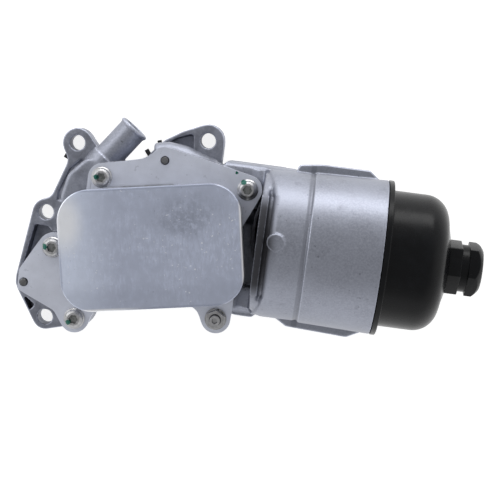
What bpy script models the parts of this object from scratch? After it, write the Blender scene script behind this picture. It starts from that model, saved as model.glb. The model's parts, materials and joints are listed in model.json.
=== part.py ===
"""Engine oil cooler on its cast filter housing.

An aluminium casting bolts to the engine block by four ears. It carries a stacked-plate oil cooler
on a flat pad and ends in a filter bowl, which a plastic screw cap closes. The mounting face is the
plane Z = 0 and the bowl's axis runs along +X towards the cap. All lengths are in metres.
"""

import math

import bmesh
import bpy
from mathutils import Euler, Matrix, Vector

OBJECT_NAME = "engine_oil_cooler"

# Gaps between pieces that touch, and between pieces that slide
SEAT_GAP = 0.0003
SLIDE_GAP = 0.0004

# Flange that bolts to the engine block
FLANGE_HEIGHT = 0.014
EAR_BORE_RADIUS = 0.0045
EAR_1 = (-0.0508, 0.0406)
EAR_2 = (-0.0643, -0.0017)
EAR_3 = (-0.0578, -0.0628)
EAR_4 = (0.0243, 0.0513)
EAR_1_RADIUS = 0.0086
EAR_2_RADIUS = 0.0079
EAR_3_RADIUS = 0.0073
EAR_4_RADIUS = 0.0095
POCKET_FLOOR = 0.004

# Stacked-plate cooler, turned on the pad that carries it
COOLER_CENTRE = (0.0041, -0.0088)
COOLER_TURN = math.radians(10.3)
COVER_LENGTH = 0.1004
COVER_WIDTH = 0.0666
COVER_CORNER = 0.0172
COVER_TOP = 0.074
COVER_SHEET = 0.0016
COVER_SKIRT = 0.0034
CORE_PLATES = 8
CORE_RIM_HEIGHT = 0.0045
CORE_RIM_FLARE = 0.35
CORE_SHEET = 0.0008
CORE_BASE_SHEET = 0.0018
LIP_START = -0.0262
LIP_END = 0.0118
LIP_REACH = 0.0004
PORT_PLACE = (0.033, 0.019)
PORT_RADIUS = 0.005
PORT_COLLAR_RADIUS = 0.0078
PORT_SEAL_WIDTH = 0.002
PORT_SEAL_DEPTH = 0.0015


def by_cooler(across, up):
    """World place of a point given in the cooler's own directions, from its centre."""
    place = Vector(COOLER_CENTRE) + Matrix.Rotation(COOLER_TURN, 2) @ Vector((across, up))
    return place.x, place.y


# Pad that carries the cooler, and the plate bolted to it
PAD_HEIGHT = 0.036
PAD_STEP = 0.0008
PAD_ROOF = 0.006
PLATE_THICKNESS = 0.003
PLATE_EAR_RADIUS = 0.0083

# Fasteners: four flange bolts, and one stud with its nut, each by its clearance from the cooler
BOLT_TOP_LEFT = by_cooler(-0.0288, COVER_WIDTH / 2 + 0.0053)
BOLT_TOP_RIGHT = by_cooler(COVER_LENGTH / 2 + 0.0028, COVER_WIDTH / 2 - 0.0060)
BOLT_LEFT = by_cooler(-COVER_LENGTH / 2 - 0.0089, 0.0005)
BOLT_BOTTOM_LEFT = by_cooler(-COVER_LENGTH / 2 + 0.0009, -COVER_WIDTH / 2 - 0.0073)
STUD_PLACE = by_cooler(0.0310, -COVER_WIDTH / 2 - 0.0114)
BOLT_SHANK_RADIUS = 0.003
BOLT_SHANK_LENGTH = 0.020
BOLT_FLANGE_RADIUS = 0.006
BOLT_FLANGE_HEIGHT = 0.0014
BOLT_HEAD_RADIUS = 0.0052
BOLT_HEAD_HEIGHT = 0.0046
DRIVE_RADIUS = 0.0027
DRIVE_LOBE_RADIUS = 0.0008
DRIVE_DEPTH = 0.0028
STUD_STANDS_OUT = 0.0098
NUT_ACROSS_FLATS = 0.010
NUT_HEIGHT = 0.006
NUT_FLANGE_RADIUS = 0.0062
NUT_FLANGE_HEIGHT = 0.0012
SOCKET_ACROSS_FLATS = 0.003
SOCKET_DEPTH = 0.0025

# Two cast pins that locate the plate
PIN_TOP = (0.0031, 0.0379)
PIN_LEFT = (-0.0683, -0.0407)
PIN_RADIUS = 0.0019
PIN_STANDS_OUT = 0.0012
PIN_HOLE_RADIUS = 0.0026

# Filter bowl, turned about its own axis
BOWL_AXIS_Z = 0.045
BOWL_MOUTH_X = 0.1288
BOWL_MOUTH_RADIUS = 0.0432
BOWL_STEP_X = 0.0886
BOWL_STEP_RADIUS = 0.0420
BOWL_BACK_RADIUS = 0.0413
BOWL_STEP_GROOVE = 0.0008
BOWL_STEP_WIDTH = 0.0030
BOWL_SHOULDER_X = 0.0672
BOWL_SHOULDER_ROUND = 0.004
BOWL_GROOVE_WIDTH = 0.0026
BOWL_GROOVE_RADIUS = 0.036
BOWL_END_RADIUS = 0.0382
BOWL_END_X = 0.0605
BOWL_FLOOR_X = 0.0705
BOWL_BORE_RADIUS = 0.0372
BOWL_THREAD_RADIUS = 0.0389
BOWL_THREAD_LENGTH = 0.014
BOWL_SEAL_RADIUS = 0.0406
BOWL_SEAL_LENGTH = 0.007
CHEEK_PLACE = 0.028

# Cradle that joins the pad to the bowl
CRADLE_TOP_Y = 0.0417
CRADLE_BOTTOM_Y = -0.0426
CRADLE_START_X = 0.0350
CRADLE_END_X = 0.080
CRADLE_FACE_END_X = 0.0745
CRADLE_HEIGHT = 0.034
CRADLE_LIFT = 0.005
CRADLE_EDGE = 0.004
VALLEY_FLOOR = 0.0230

# Thin curved wall in the valley between the pad and the bowl
CRESCENT_CENTRE = (0.1045, 0.0054)
CRESCENT_RADIUS = 0.0481
CRESCENT_WALL = 0.002
CRESCENT_START = math.radians(151)
CRESCENT_END = math.radians(209)

# Side ribs on the bowl, and a lug under the cradle
RIB_TOP_Z = 0.039
RIB_THICKNESS = 0.0045
RIB_START_X = 0.079
RIB_SETBACK = 0.0042
RIB_CORNER = 0.002
LUG_LOW_Z = 0.025
LUG_TOP_Z = 0.031

# Hose stub and the coolant gallery that leads from it
STUB_TIP = (-0.0176, 0.0539)
STUB_ROOT = (-0.0325, 0.0334)
GALLERY_Z = 0.021
STUB_RADIUS = 0.0083
STUB_BEAD_RADIUS = 0.0091
STUB_BEAD_LENGTH = 0.0024
STUB_BOSS_RADIUS = 0.0094
STUB_BOSS_LENGTH = 0.0015
STUB_BORE_RADIUS = 0.0062
GALLERY_TOP = 0.030
GALLERY_EDGE = 0.0022
GALLERY_BORE_RADIUS = 0.005
TRENCH_FLOOR = 0.006
BULGE_RADIUS = 0.0084
BULGE_Z = 0.0225

# Ejector mark on the bowl
EJECTOR_PLACE = (0.071, 0.0041)
EJECTOR_RADIUS = 0.0049
EJECTOR_TOP_Z = 0.0868

# Screw cap
CAP_RING_RADIUS = 0.0434
CAP_RING_LENGTH = 0.0028
CAP_BODY_RADIUS = 0.0381
CAP_BODY_END_X = 0.1510
CAP_CORNER_RADIUS = 0.0135
CAP_DOME_RISE = 0.0023
CAP_WALL = 0.003
CAP_HEX_FLATS = 0.027
CAP_COLLAR_END_X = 0.1741
CAP_NECK_RADIUS = 0.0132
CAP_HEX_START_X = 0.178
CAP_HEX_CHAMFER_X = 0.1822
CAP_HEX_END_X = 0.1859
CAP_HEX_END_RADIUS = 0.0118
CAP_HEX_TURN = math.radians(43)
CAP_SPIGOT_LENGTH = 0.0185
CAP_HUB_RADIUS = 0.013
CAP_HUB_WALL = 0.0018
O_RING_SECTION = 0.0014
O_RING_PLACE = 0.0036

# Filter cartridge
ELEMENT_START_X = 0.0745
ELEMENT_LENGTH = 0.0755
ELEMENT_RADIUS = 0.0325
ELEMENT_BORE_RADIUS = 0.0155
ELEMENT_DISC = 0.0016
ELEMENT_PLEATS = 34
CENTRE_TUBE_WALL = 0.0012
CENTRE_TUBE_ROWS = 2
CENTRE_TUBE_SLOTS = 6

# Standpipe with the bypass valve in its head
STANDPIPE_RADIUS = 0.009
STANDPIPE_BORE = 0.0072
STANDPIPE_LEDGE_BORE = 0.0060
STANDPIPE_FOOT_RADIUS = 0.0135
STANDPIPE_FOOT_HEIGHT = 0.0024
SEAT_BORE = 0.0045
SEAT_HEIGHT = 0.0018
POPPET_THICKNESS = 0.0016
POPPET_STEM_RADIUS = 0.0018
POPPET_LENGTH = 0.0140
RETAINER_HEIGHT = 0.002
SPRING_RADIUS = 0.0046
SPRING_WIRE_RADIUS = 0.0005
SPRING_TURNS = 5

# Rubber seals in the mounting face
GASKET_WIDTH = 0.0026
GASKET_HEIGHT = 0.002
TAB_SIZE = (0.0024, 0.0030)

# Facets
FINE = 40
ROUND = 16
ARC_STEP = math.radians(22.5)

PLATE_TOP = PAD_HEIGHT + SEAT_GAP + PLATE_THICKNESS


def reset_scene():
    for old in list(bpy.data.objects):
        bpy.data.objects.remove(old, do_unlink=True)
    parts = bpy.data.collections.new(OBJECT_NAME)
    cutters = bpy.data.collections.new("cutters")
    bpy.context.scene.collection.children.link(parts)
    bpy.context.scene.collection.children.link(cutters)
    return parts, cutters


PARTS, CUTTERS = reset_scene()


def finish_material(name, colour, roughness, metallic):
    material = bpy.data.materials.new(name)
    material.use_nodes = True
    shader = material.node_tree.nodes["Principled BSDF"]
    shader.inputs["Base Color"].default_value = (*colour, 1)
    shader.inputs["Roughness"].default_value = roughness
    shader.inputs["Metallic"].default_value = metallic
    material.diffuse_color = (*colour, 1)
    return material


def smooth(obj, angle=35):
    obj.data.shade_smooth()
    obj.data.set_sharp_from_angle(angle=math.radians(angle))


def as_piece(obj, name, material):
    """Makes an object one of the product's pieces, with its own finish."""
    obj.name = name
    obj.data.name = name
    obj.data.materials.clear()
    obj.data.materials.append(material)
    smooth(obj)
    return obj


def as_helper(obj):
    """Puts an object with the cutters, where it is neither rendered nor counted as a piece."""
    for holder in list(obj.users_collection):
        holder.objects.unlink(obj)
    CUTTERS.objects.link(obj)
    obj.hide_render = True
    obj.display_type = "WIRE"
    return obj


def mesh_object(name, bm):
    mesh = bpy.data.meshes.new(name)
    bm.to_mesh(mesh)
    bm.free()
    obj = bpy.data.objects.new(name, mesh)
    PARTS.objects.link(obj)
    return obj


def baked(obj):
    """A plain mesh object with the same shape and place, in the stead of a curve or a modifier stack."""
    bpy.context.view_layer.update()
    graph = bpy.context.evaluated_depsgraph_get()
    mesh = bpy.data.meshes.new_from_object(obj.evaluated_get(graph))
    bm = bmesh.new()
    bm.from_mesh(mesh)
    bmesh.ops.remove_doubles(bm, verts=bm.verts, dist=1e-6)
    bm.to_mesh(mesh)
    bm.free()
    new = bpy.data.objects.new(obj.name, mesh)
    new.matrix_world = obj.matrix_world.copy()
    PARTS.objects.link(new)
    bpy.data.objects.remove(obj, do_unlink=True)
    return new


def boolean(target, other, operation):
    """Flat areas are made single faces first, which keeps the next cut clean."""
    flat = target.modifiers.new("flat areas", "DECIMATE")
    flat.decimate_type = "DISSOLVE"
    flat.angle_limit = math.radians(0.1)
    modifier = target.modifiers.new(f"{operation.lower()} {other.name}", "BOOLEAN")
    modifier.operation = operation
    modifier.object = as_helper(other)


def join(target, *others):
    for other in others:
        boolean(target, other, "UNION")


def cut(target, *others):
    for other in others:
        boolean(target, other, "DIFFERENCE")


def belt(circles, grow=0.0, arc_step=ARC_STEP):
    """Closed outline run anticlockwise round circles (x, y, radius) like a belt round pulleys.

    A negative radius turns the outline the other way, round the circle's outside. The circles
    stand where ears, bolts and corners are, so the outline follows them. grow moves it outwards.
    """
    rounds = [(Vector((x, y)), radius + grow) for x, y, radius in circles]
    normals = []
    for (centre, radius), (next_centre, next_radius) in zip(rounds, rounds[1:] + rounds[:1]):
        reach = next_centre - centre
        turn = math.acos(max(-1.0, min(1.0, (radius - next_radius) / reach.length)))
        normals.append(math.atan2(reach.y, reach.x) - turn)
    points = []
    for index, (centre, radius) in enumerate(rounds):
        start, end = normals[index - 1], normals[index]
        if radius >= 0:
            sweep = (end - start) % math.tau
        else:
            sweep = -((start - end) % math.tau)
        steps = max(1, math.ceil(abs(sweep) / arc_step - 1e-6))
        for step in range(steps + 1):
            angle = start + sweep * step / steps
            points.append(centre + radius * Vector((math.cos(angle), math.sin(angle))))
    kept = []
    for point in points:
        if not kept or (point - kept[-1]).length > 1e-5:
            kept.append(point)
    return kept


def box_corners(x0, y0, x1, y1, radius):
    return [
        (x1 - radius, y0 + radius, radius),
        (x1 - radius, y1 - radius, radius),
        (x0 + radius, y1 - radius, radius),
        (x0 + radius, y0 + radius, radius),
    ]


def slab(name, outlines, low, high, edge=0.0):
    """A flat piece between two heights, cut to an outline. Further outlines are holes in it."""
    curve = bpy.data.curves.new(name, "CURVE")
    curve.dimensions = "2D"
    curve.fill_mode = "BOTH"
    curve.extrude = (high - low) / 2 - edge
    curve.bevel_depth = edge
    curve.bevel_resolution = 2
    curve.offset = -edge
    for outline in outlines:
        spline = curve.splines.new("POLY")
        spline.points.add(len(outline) - 1)
        spline.use_cyclic_u = True
        for place, point in zip(spline.points, outline):
            place.co = (point[0], point[1], 0, 1)
    obj = bpy.data.objects.new(name, curve)
    PARTS.objects.link(obj)
    obj.location.z = (low + high) / 2
    return baked(obj)


def side_slab(name, outline, low_y, high_y, edge=0.0):
    """A slab whose outline is drawn in X and Z and that is thick along Y."""
    obj = slab(name, [outline], -high_y, -low_y, edge)
    obj.matrix_world = Matrix.Rotation(math.radians(90), 4, "X") @ obj.matrix_world
    return obj


def ring(radius, sides, centre=(0.0, 0.0), turn=0.0):
    return [
        Vector((
            centre[0] + radius * math.cos(turn + math.tau * n / sides),
            centre[1] + radius * math.sin(turn + math.tau * n / sides),
        ))
        for n in range(sides)
    ]


def cylinder(name, radius, low, high, centre=(0.0, 0.0), sides=ROUND, turn=0.0, top_radius=None):
    bm = bmesh.new()
    bmesh.ops.create_cone(
        bm,
        cap_ends=True,
        segments=sides,
        radius1=radius,
        radius2=radius if top_radius is None else top_radius,
        depth=high - low,
        matrix=Matrix.Translation((*centre, (low + high) / 2)) @ Matrix.Rotation(turn, 4, "Z"),
    )
    return mesh_object(name, bm)


def box(name, low, high):
    bm = bmesh.new()
    size = Vector(high) - Vector(low)
    place = (Vector(high) + Vector(low)) / 2
    bmesh.ops.create_cube(bm, size=1, matrix=Matrix.Translation(place) @ Matrix.Diagonal((*size, 1)))
    return mesh_object(name, bm)


def merged(name, objects):
    """One helper object made of several shapes that don't meet."""
    bm = bmesh.new()
    for obj in objects:
        piece = obj.data.copy()
        piece.transform(obj.matrix_world)
        bm.from_mesh(piece)
        bpy.data.meshes.remove(piece)
        bpy.data.objects.remove(obj, do_unlink=True)
    return mesh_object(name, bm)


def turned(name, profile, sides=FINE, closed=False):
    """A turned piece about local Z. The profile (radius, height) runs down the outer side."""
    bm = bmesh.new()
    points = [bm.verts.new((radius, 0, height)) for radius, height in profile]
    for first, second in zip(points, points[1:]):
        bm.edges.new((first, second))
    if closed:
        bm.edges.new((points[-1], points[0]))
    obj = mesh_object(name, bm)
    screw = obj.modifiers.new("turn", "SCREW")
    screw.steps = sides
    screw.render_steps = sides
    screw.use_merge_vertices = True
    screw.merge_threshold = 1e-6
    return obj


def on_bowl_axis(obj):
    """Turns a piece made about local Z onto the bowl's axis, with its height as world X."""
    turn = Matrix.Rotation(math.radians(90), 4, "Y")
    obj.matrix_world = Matrix.Translation((0, 0, BOWL_AXIS_Z)) @ turn @ obj.matrix_world
    return obj


def arc(centre, radius, start, end, steps):
    """Points (radius, height) of a round corner in a turned profile, angles in degrees."""
    points = []
    for step in range(steps + 1):
        angle = math.radians(start + (end - start) * step / steps)
        points.append((centre[0] + radius * math.cos(angle), centre[1] + radius * math.sin(angle)))
    return points


def bent_tube(name, points, radius, sides_level=3):
    """A round bar along points, with closed ends."""
    curve = bpy.data.curves.new(name, "CURVE")
    curve.dimensions = "3D"
    curve.bevel_depth = radius
    curve.bevel_resolution = sides_level
    curve.use_fill_caps = True
    spline = curve.splines.new("POLY")
    spline.points.add(len(points) - 1)
    for place, point in zip(spline.points, points):
        place.co = (*point, 1)
    obj = bpy.data.objects.new(name, curve)
    PARTS.objects.link(obj)
    return baked(obj)


# Outlines, from the places of what they go round

PLATE_OUTLINE = [
    (*BOLT_TOP_RIGHT, PLATE_EAR_RADIUS),
    (*PIN_TOP, 0.0076),
    (-0.0150, 0.0500, -0.0138),
    (*BOLT_TOP_LEFT, 0.0079),
    (-0.0450, -0.0040, -0.0060),
    (*BOLT_LEFT, PLATE_EAR_RADIUS),
    (PIN_LEFT[0] + 0.0007, PIN_LEFT[1] + 0.0062, 0.0040),
    (PIN_LEFT[0] + 0.0007, PIN_LEFT[1] - 0.0019, 0.0040),
    (-0.0534, -0.0596, -0.0062),
    (*BOLT_BOTTOM_LEFT, PLATE_EAR_RADIUS),
    (-0.0220, -0.0570, -0.0062),
    (0.0256, -0.0500, -0.0082),
    (*STUD_PLACE, 0.0085),
    (0.0452, -0.0220, 0.0060),
    (0.0568, -0.0030, -0.0092),
]

FLANGE_OUTLINE = [
    (*EAR_4, EAR_4_RADIUS),
    (0.0260, 0.0179, 0.0406),
    (-0.0110, 0.0300, -0.0020),
    (-0.0290, 0.0310, -0.0020),
    (*EAR_1, EAR_1_RADIUS),
    (-0.0619, 0.0295, -0.0066),
    (-0.0676, 0.0124, -0.0066),
    (*EAR_2, EAR_2_RADIUS),
    (-0.0666, -0.0424, 0.0110),
    (*EAR_3, EAR_3_RADIUS),
    (*BOLT_BOTTOM_LEFT, PLATE_EAR_RADIUS - 2 * PAD_STEP),
    (-0.0200, -0.0575, -0.0085),
    (0.0310, -0.0250, 0.0020),
]

# The flange is dished between its rim and the pad, to save metal
POCKETS = [
    [(-0.0687, -0.0107, 0.0012), (-0.0738, -0.0372, 0.0008), (-0.0640, -0.0300, 0.0010),
     (-0.0580, -0.0150, 0.0010), (-0.0625, -0.0110, 0.0012)],
    [(-0.0660, -0.0567, 0.0010), (-0.0706, -0.0531, 0.0007), (-0.0671, -0.0588, 0.0008)],
    [(0.0143, 0.0522, 0.0016), (0.0065, 0.0496, 0.0012), (0.0002, 0.0450, 0.0010),
     (0.0030, 0.0400, 0.0010), (0.0155, 0.0430, 0.0012)],
]
# A trench runs between the flange's rim and the wall of the coolant gallery
TRENCH = [
    (-0.0490, 0.0070, 0.0008), (-0.0430, 0.0285, 0.0008), (-0.0470, 0.0308, 0.0008),
    (-0.0530, 0.0245, 0.0008), (-0.0575, 0.0120, 0.0008), (-0.0580, 0.0065, 0.0008),
]

# Hollows in the mounting face
HOLLOWS = {
    "coolant in": (-0.0365, -0.0200, -0.0225, 0.0120),
    "oil in": (-0.0560, -0.0380, -0.0160, -0.0265),
    "oil to the bowl": (0.0090, 0.0030, 0.0440, 0.0240),
    "coolant out": (0.0055, -0.0300, 0.0450, -0.0090),
    "core out": (-0.0170, -0.0200, -0.0055, 0.0240),
}
HOLLOW_CORNER = 0.003
# Rubber seals round the oil's hollows, and the hollow of each
HOLLOW_SEALS = {"oil_inlet_seal": "oil in", "oil_passage_seal": "oil to the bowl"}
SEAL_MARGIN = 0.001
BOWL_FEED = (0.0120, 0.0220)
BOWL_FEED_X = 0.042
BOWL_FEED_RADIUS = 0.0045
BOWL_RETURN_X = 0.0655
BOWL_RETURN_RADIUS = 0.0034

GASKET_LINE = [
    (0.0410, 0.0210, 0.0090),
    (0.0000, 0.0335, 0.0055),
    (-0.0180, 0.0460, -0.0152),
    (-0.0450, 0.0245, 0.0060),
    (-0.0530, -0.0295, 0.0090),
    (-0.0530, -0.0350, 0.0090),
    (-0.0360, -0.0438, 0.0045),
    (0.0420, -0.0270, 0.0062),
]
# Middle of each tab that shows beyond the flange, and the point of the gasket that carries it
GASKET_TABS = [
    ((-0.0577, 0.0315), (-0.0495, 0.0280)),
    ((-0.0043, 0.0464), (-0.0010, 0.0380)),
    ((-0.0108, 0.0402), (-0.0060, 0.0340)),
]

GALLERY_LINE = [
    STUB_ROOT, (-0.0360, 0.0295), (-0.0400, 0.0260), (-0.0430, 0.0220),
    (-0.0450, 0.0165), (-0.0460, 0.0105), (-0.0445, 0.0040), (-0.0350, -0.0040),
]
GALLERY_OUTLINE = [
    (-0.0300, -0.0010, 0.0060), (-0.0300, 0.0270, 0.0060), (-0.0398, 0.0270, 0.0062),
    (-0.0452, 0.0190, 0.0074), (-0.0470, 0.0095, 0.0075), (-0.0440, -0.0010, 0.0062),
]
BULGE_LINE = [(-0.0040, 0.0385), (0.0040, 0.0402), (0.0120, 0.0393), (0.0200, 0.0362), (0.0300, 0.0335)]


def axial(line, z):
    return [(x, y, z) for x, y in line]


def turned_along(obj, start, direction):
    """Places a piece made about local Z so that it starts at a point and runs along a direction."""
    turn = Vector(direction).to_track_quat("Z", "Y").to_matrix().to_4x4()
    obj.matrix_world = Matrix.Translation(start) @ turn
    return obj


def bowl_outside():
    shoulder = arc(
        (BOWL_BACK_RADIUS - BOWL_SHOULDER_ROUND, BOWL_SHOULDER_X + BOWL_SHOULDER_ROUND),
        BOWL_SHOULDER_ROUND, 0, -90, 4,
    )
    profile = [
        (0, BOWL_MOUTH_X),
        (BOWL_MOUTH_RADIUS, BOWL_MOUTH_X),
        (BOWL_STEP_RADIUS, BOWL_STEP_X),
        (BOWL_BACK_RADIUS - BOWL_STEP_GROOVE, BOWL_STEP_X - BOWL_STEP_WIDTH / 3),
        (BOWL_BACK_RADIUS - BOWL_STEP_GROOVE, BOWL_STEP_X - BOWL_STEP_WIDTH / 2),
        (BOWL_BACK_RADIUS, BOWL_STEP_X - BOWL_STEP_WIDTH),
        *shoulder,
        (BOWL_GROOVE_RADIUS, BOWL_SHOULDER_X),
        (BOWL_GROOVE_RADIUS, BOWL_SHOULDER_X - BOWL_GROOVE_WIDTH),
        (BOWL_END_RADIUS, BOWL_SHOULDER_X - BOWL_GROOVE_WIDTH),
        (BOWL_END_RADIUS, BOWL_END_X),
        (0, BOWL_END_X),
    ]
    return on_bowl_axis(turned("bowl outside", profile))


def bowl_inside():
    seal_end = BOWL_MOUTH_X - BOWL_SEAL_LENGTH
    thread_end = seal_end - BOWL_THREAD_LENGTH
    profile = [
        (0, BOWL_MOUTH_X + 0.001),
        (BOWL_SEAL_RADIUS, BOWL_MOUTH_X + 0.001),
        (BOWL_SEAL_RADIUS, seal_end),
        (BOWL_THREAD_RADIUS, seal_end - 0.001),
        (BOWL_THREAD_RADIUS, thread_end),
        (BOWL_BORE_RADIUS, thread_end - 0.001),
        (BOWL_BORE_RADIUS, BOWL_FLOOR_X),
        (0, BOWL_FLOOR_X),
    ]
    return on_bowl_axis(turned("bowl inside", profile))


def cheeks():
    """The bowl's two cheeks, which carry on past its shoulder and slope down to the pad."""
    body = on_bowl_axis(cylinder("cheeks", BOWL_BACK_RADIUS - SEAT_GAP, 0.050, 0.074, sides=FINE))
    slope = [
        Vector((0.049, -0.001)), Vector((0.076, -0.001)), Vector((0.076, 0.090)),
        Vector((0.0705, 0.090)), Vector((0.0600, CRADLE_HEIGHT + 0.002)),
        Vector((0.049, CRADLE_HEIGHT - 0.001)),
    ]
    boolean(body, side_slab("cheek slope", slope, -0.060, 0.060), "INTERSECT")
    middle = [
        Vector((0.040, -0.005)), Vector((0.080, -0.005)),
        Vector((0.080, 0.095)), Vector((0.040, 0.095)),
    ]
    cut(body, side_slab("between cheeks", middle, -CHEEK_PLACE, CHEEK_PLACE))
    return baked(body)


def cradle():
    outline = [
        Vector((CRADLE_START_X, -0.004)), Vector((CRADLE_FACE_END_X, -0.004)),
        Vector((CRADLE_FACE_END_X, CRADLE_LIFT)), Vector((CRADLE_END_X, CRADLE_LIFT + 0.001)),
        Vector((CRADLE_END_X, BOWL_AXIS_Z - 0.002)), Vector((0.0652, BOWL_AXIS_Z - 0.002)),
        Vector((0.0600, CRADLE_HEIGHT)), Vector((CRADLE_START_X, CRADLE_HEIGHT)),
    ]
    body = side_slab("cradle", outline, CRADLE_BOTTOM_Y, CRADLE_TOP_Y, CRADLE_EDGE)
    half = CHEEK_PLACE - SEAT_GAP
    valley = box_corners(CRADLE_START_X - 0.002, -half, BOWL_SHOULDER_X - 0.001, half, 0.002)
    cut(body, slab("valley", [belt(valley)], VALLEY_FLOOR, 0.060))
    return baked(body)


def crescent_wall():
    """Thin curved wall that stands in the valley beside the bowl's end."""
    outline = []
    for radius, turns in ((CRESCENT_RADIUS, range(7)), (CRESCENT_RADIUS - CRESCENT_WALL, range(6, -1, -1))):
        for step in turns:
            angle = CRESCENT_START + (CRESCENT_END - CRESCENT_START) * step / 6
            outline.append(Vector(CRESCENT_CENTRE) + radius * Vector((math.cos(angle), math.sin(angle))))
    return slab("crescent wall", [outline], VALLEY_FLOOR - 0.0013, 0.0400)


def ribs():
    side = BOWL_MOUTH_RADIUS
    start, end = RIB_START_X, BOWL_MOUTH_X - RIB_SETBACK
    top = [(start, side - 0.0032), (end, side - 0.0036), (end - 0.0070, side + 0.0018),
           (start + 0.0130, side + 0.0018), (start + 0.0010, side + 0.0002)]
    bottom = [(start - 0.0010, -side + 0.0017), (start + 0.0040, -side - 0.0013),
              (end - 0.0080, -side - 0.0029),
              (end, -side + 0.0012), (start, -side + 0.0052)]
    lug = [(0.0505, CRADLE_BOTTOM_Y + 0.0026), (0.0525, CRADLE_BOTTOM_Y - 0.0002),
           (0.0615, CRADLE_BOTTOM_Y - 0.0004), (0.0640, CRADLE_BOTTOM_Y + 0.0020)]
    low = RIB_TOP_Z - RIB_THICKNESS
    return [
        slab(name, [belt([(x, y, RIB_CORNER) for x, y in corners])], bottom_z, top_z)
        for name, corners, bottom_z, top_z in (
            ("top rib", top, low, RIB_TOP_Z), ("bottom rib", bottom, low, RIB_TOP_Z),
            ("lug", lug, LUG_LOW_Z, LUG_TOP_Z),
        )
    ]


def stub():
    reach = Vector(STUB_TIP) - Vector(STUB_ROOT)
    length = reach.length
    neck = STUB_BEAD_LENGTH
    profile = [
        (0, length),
        (STUB_RADIUS - 0.0002, length),
        (STUB_BEAD_RADIUS, length - 0.3 * neck),
        (STUB_BEAD_RADIUS, length - 0.7 * neck),
        (STUB_RADIUS, length - neck),
        (STUB_RADIUS, -2 * neck),
        (0, -2 * neck),
    ]
    start = (*STUB_ROOT, GALLERY_Z)
    body = turned_along(turned("stub", profile, sides=24), start, (*reach, 0))
    boss = cylinder("stub boss", STUB_BOSS_RADIUS, -3 * neck, STUB_BOSS_LENGTH, sides=24)
    bore = cylinder("stub bore", STUB_BORE_RADIUS, -neck / 2, length + 0.001, sides=ROUND)
    return body, turned_along(boss, start, (*reach, 0)), turned_along(bore, start, (*reach, 0))


def tapped_holes():
    low = PAD_HEIGHT - BOLT_SHANK_LENGTH
    places = [BOLT_TOP_LEFT, BOLT_TOP_RIGHT, BOLT_LEFT, BOLT_BOTTOM_LEFT, STUD_PLACE]
    radius = BOLT_SHANK_RADIUS + SEAT_GAP
    return [cylinder("tapped hole", radius, low, PAD_HEIGHT + 0.001, place, sides=12) for place in places]


def port_corners():
    """The four ports from the cooler's centre: oil on one diagonal, coolant on the other."""
    across, up = PORT_PLACE
    return [(across, up), (-across, up), (-across, -up), (across, -up)]


def port_places():
    return [by_cooler(*corner) for corner in port_corners()]


def gasket_groove():
    """Cutter for the gasket's groove and its tabs, a seat gap larger all round."""
    line = slab("gasket groove", [
        belt(GASKET_LINE, GASKET_WIDTH / 2 + SEAT_GAP),
        belt(GASKET_LINE, -GASKET_WIDTH / 2 - SEAT_GAP),
    ], -0.001, GASKET_HEIGHT + 2 * SEAT_GAP)
    join(line, *gasket_tabs(SEAT_GAP, -0.001, GASKET_HEIGHT + 2 * SEAT_GAP))
    return baked(line)


def gasket_tabs(grow, low, high):
    tabs = []
    width = TAB_SIZE[0] + 2 * grow
    for outside, inside in GASKET_TABS:
        reach = Vector(outside) - Vector(inside)
        length = reach.length + TAB_SIZE[1] / 2 + grow
        outline = [Vector((0, -width / 2)), Vector((length, -width / 2)),
                   Vector((length, width / 2)), Vector((0, width / 2))]
        tab = slab("tab", [outline], low, high)
        turn = Matrix.Rotation(math.atan2(reach.y, reach.x), 4, "Z")
        tab.matrix_world = Matrix.Translation((*inside, 0)) @ turn @ tab.matrix_world
        tabs.append(tab)
    return tabs


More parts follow.
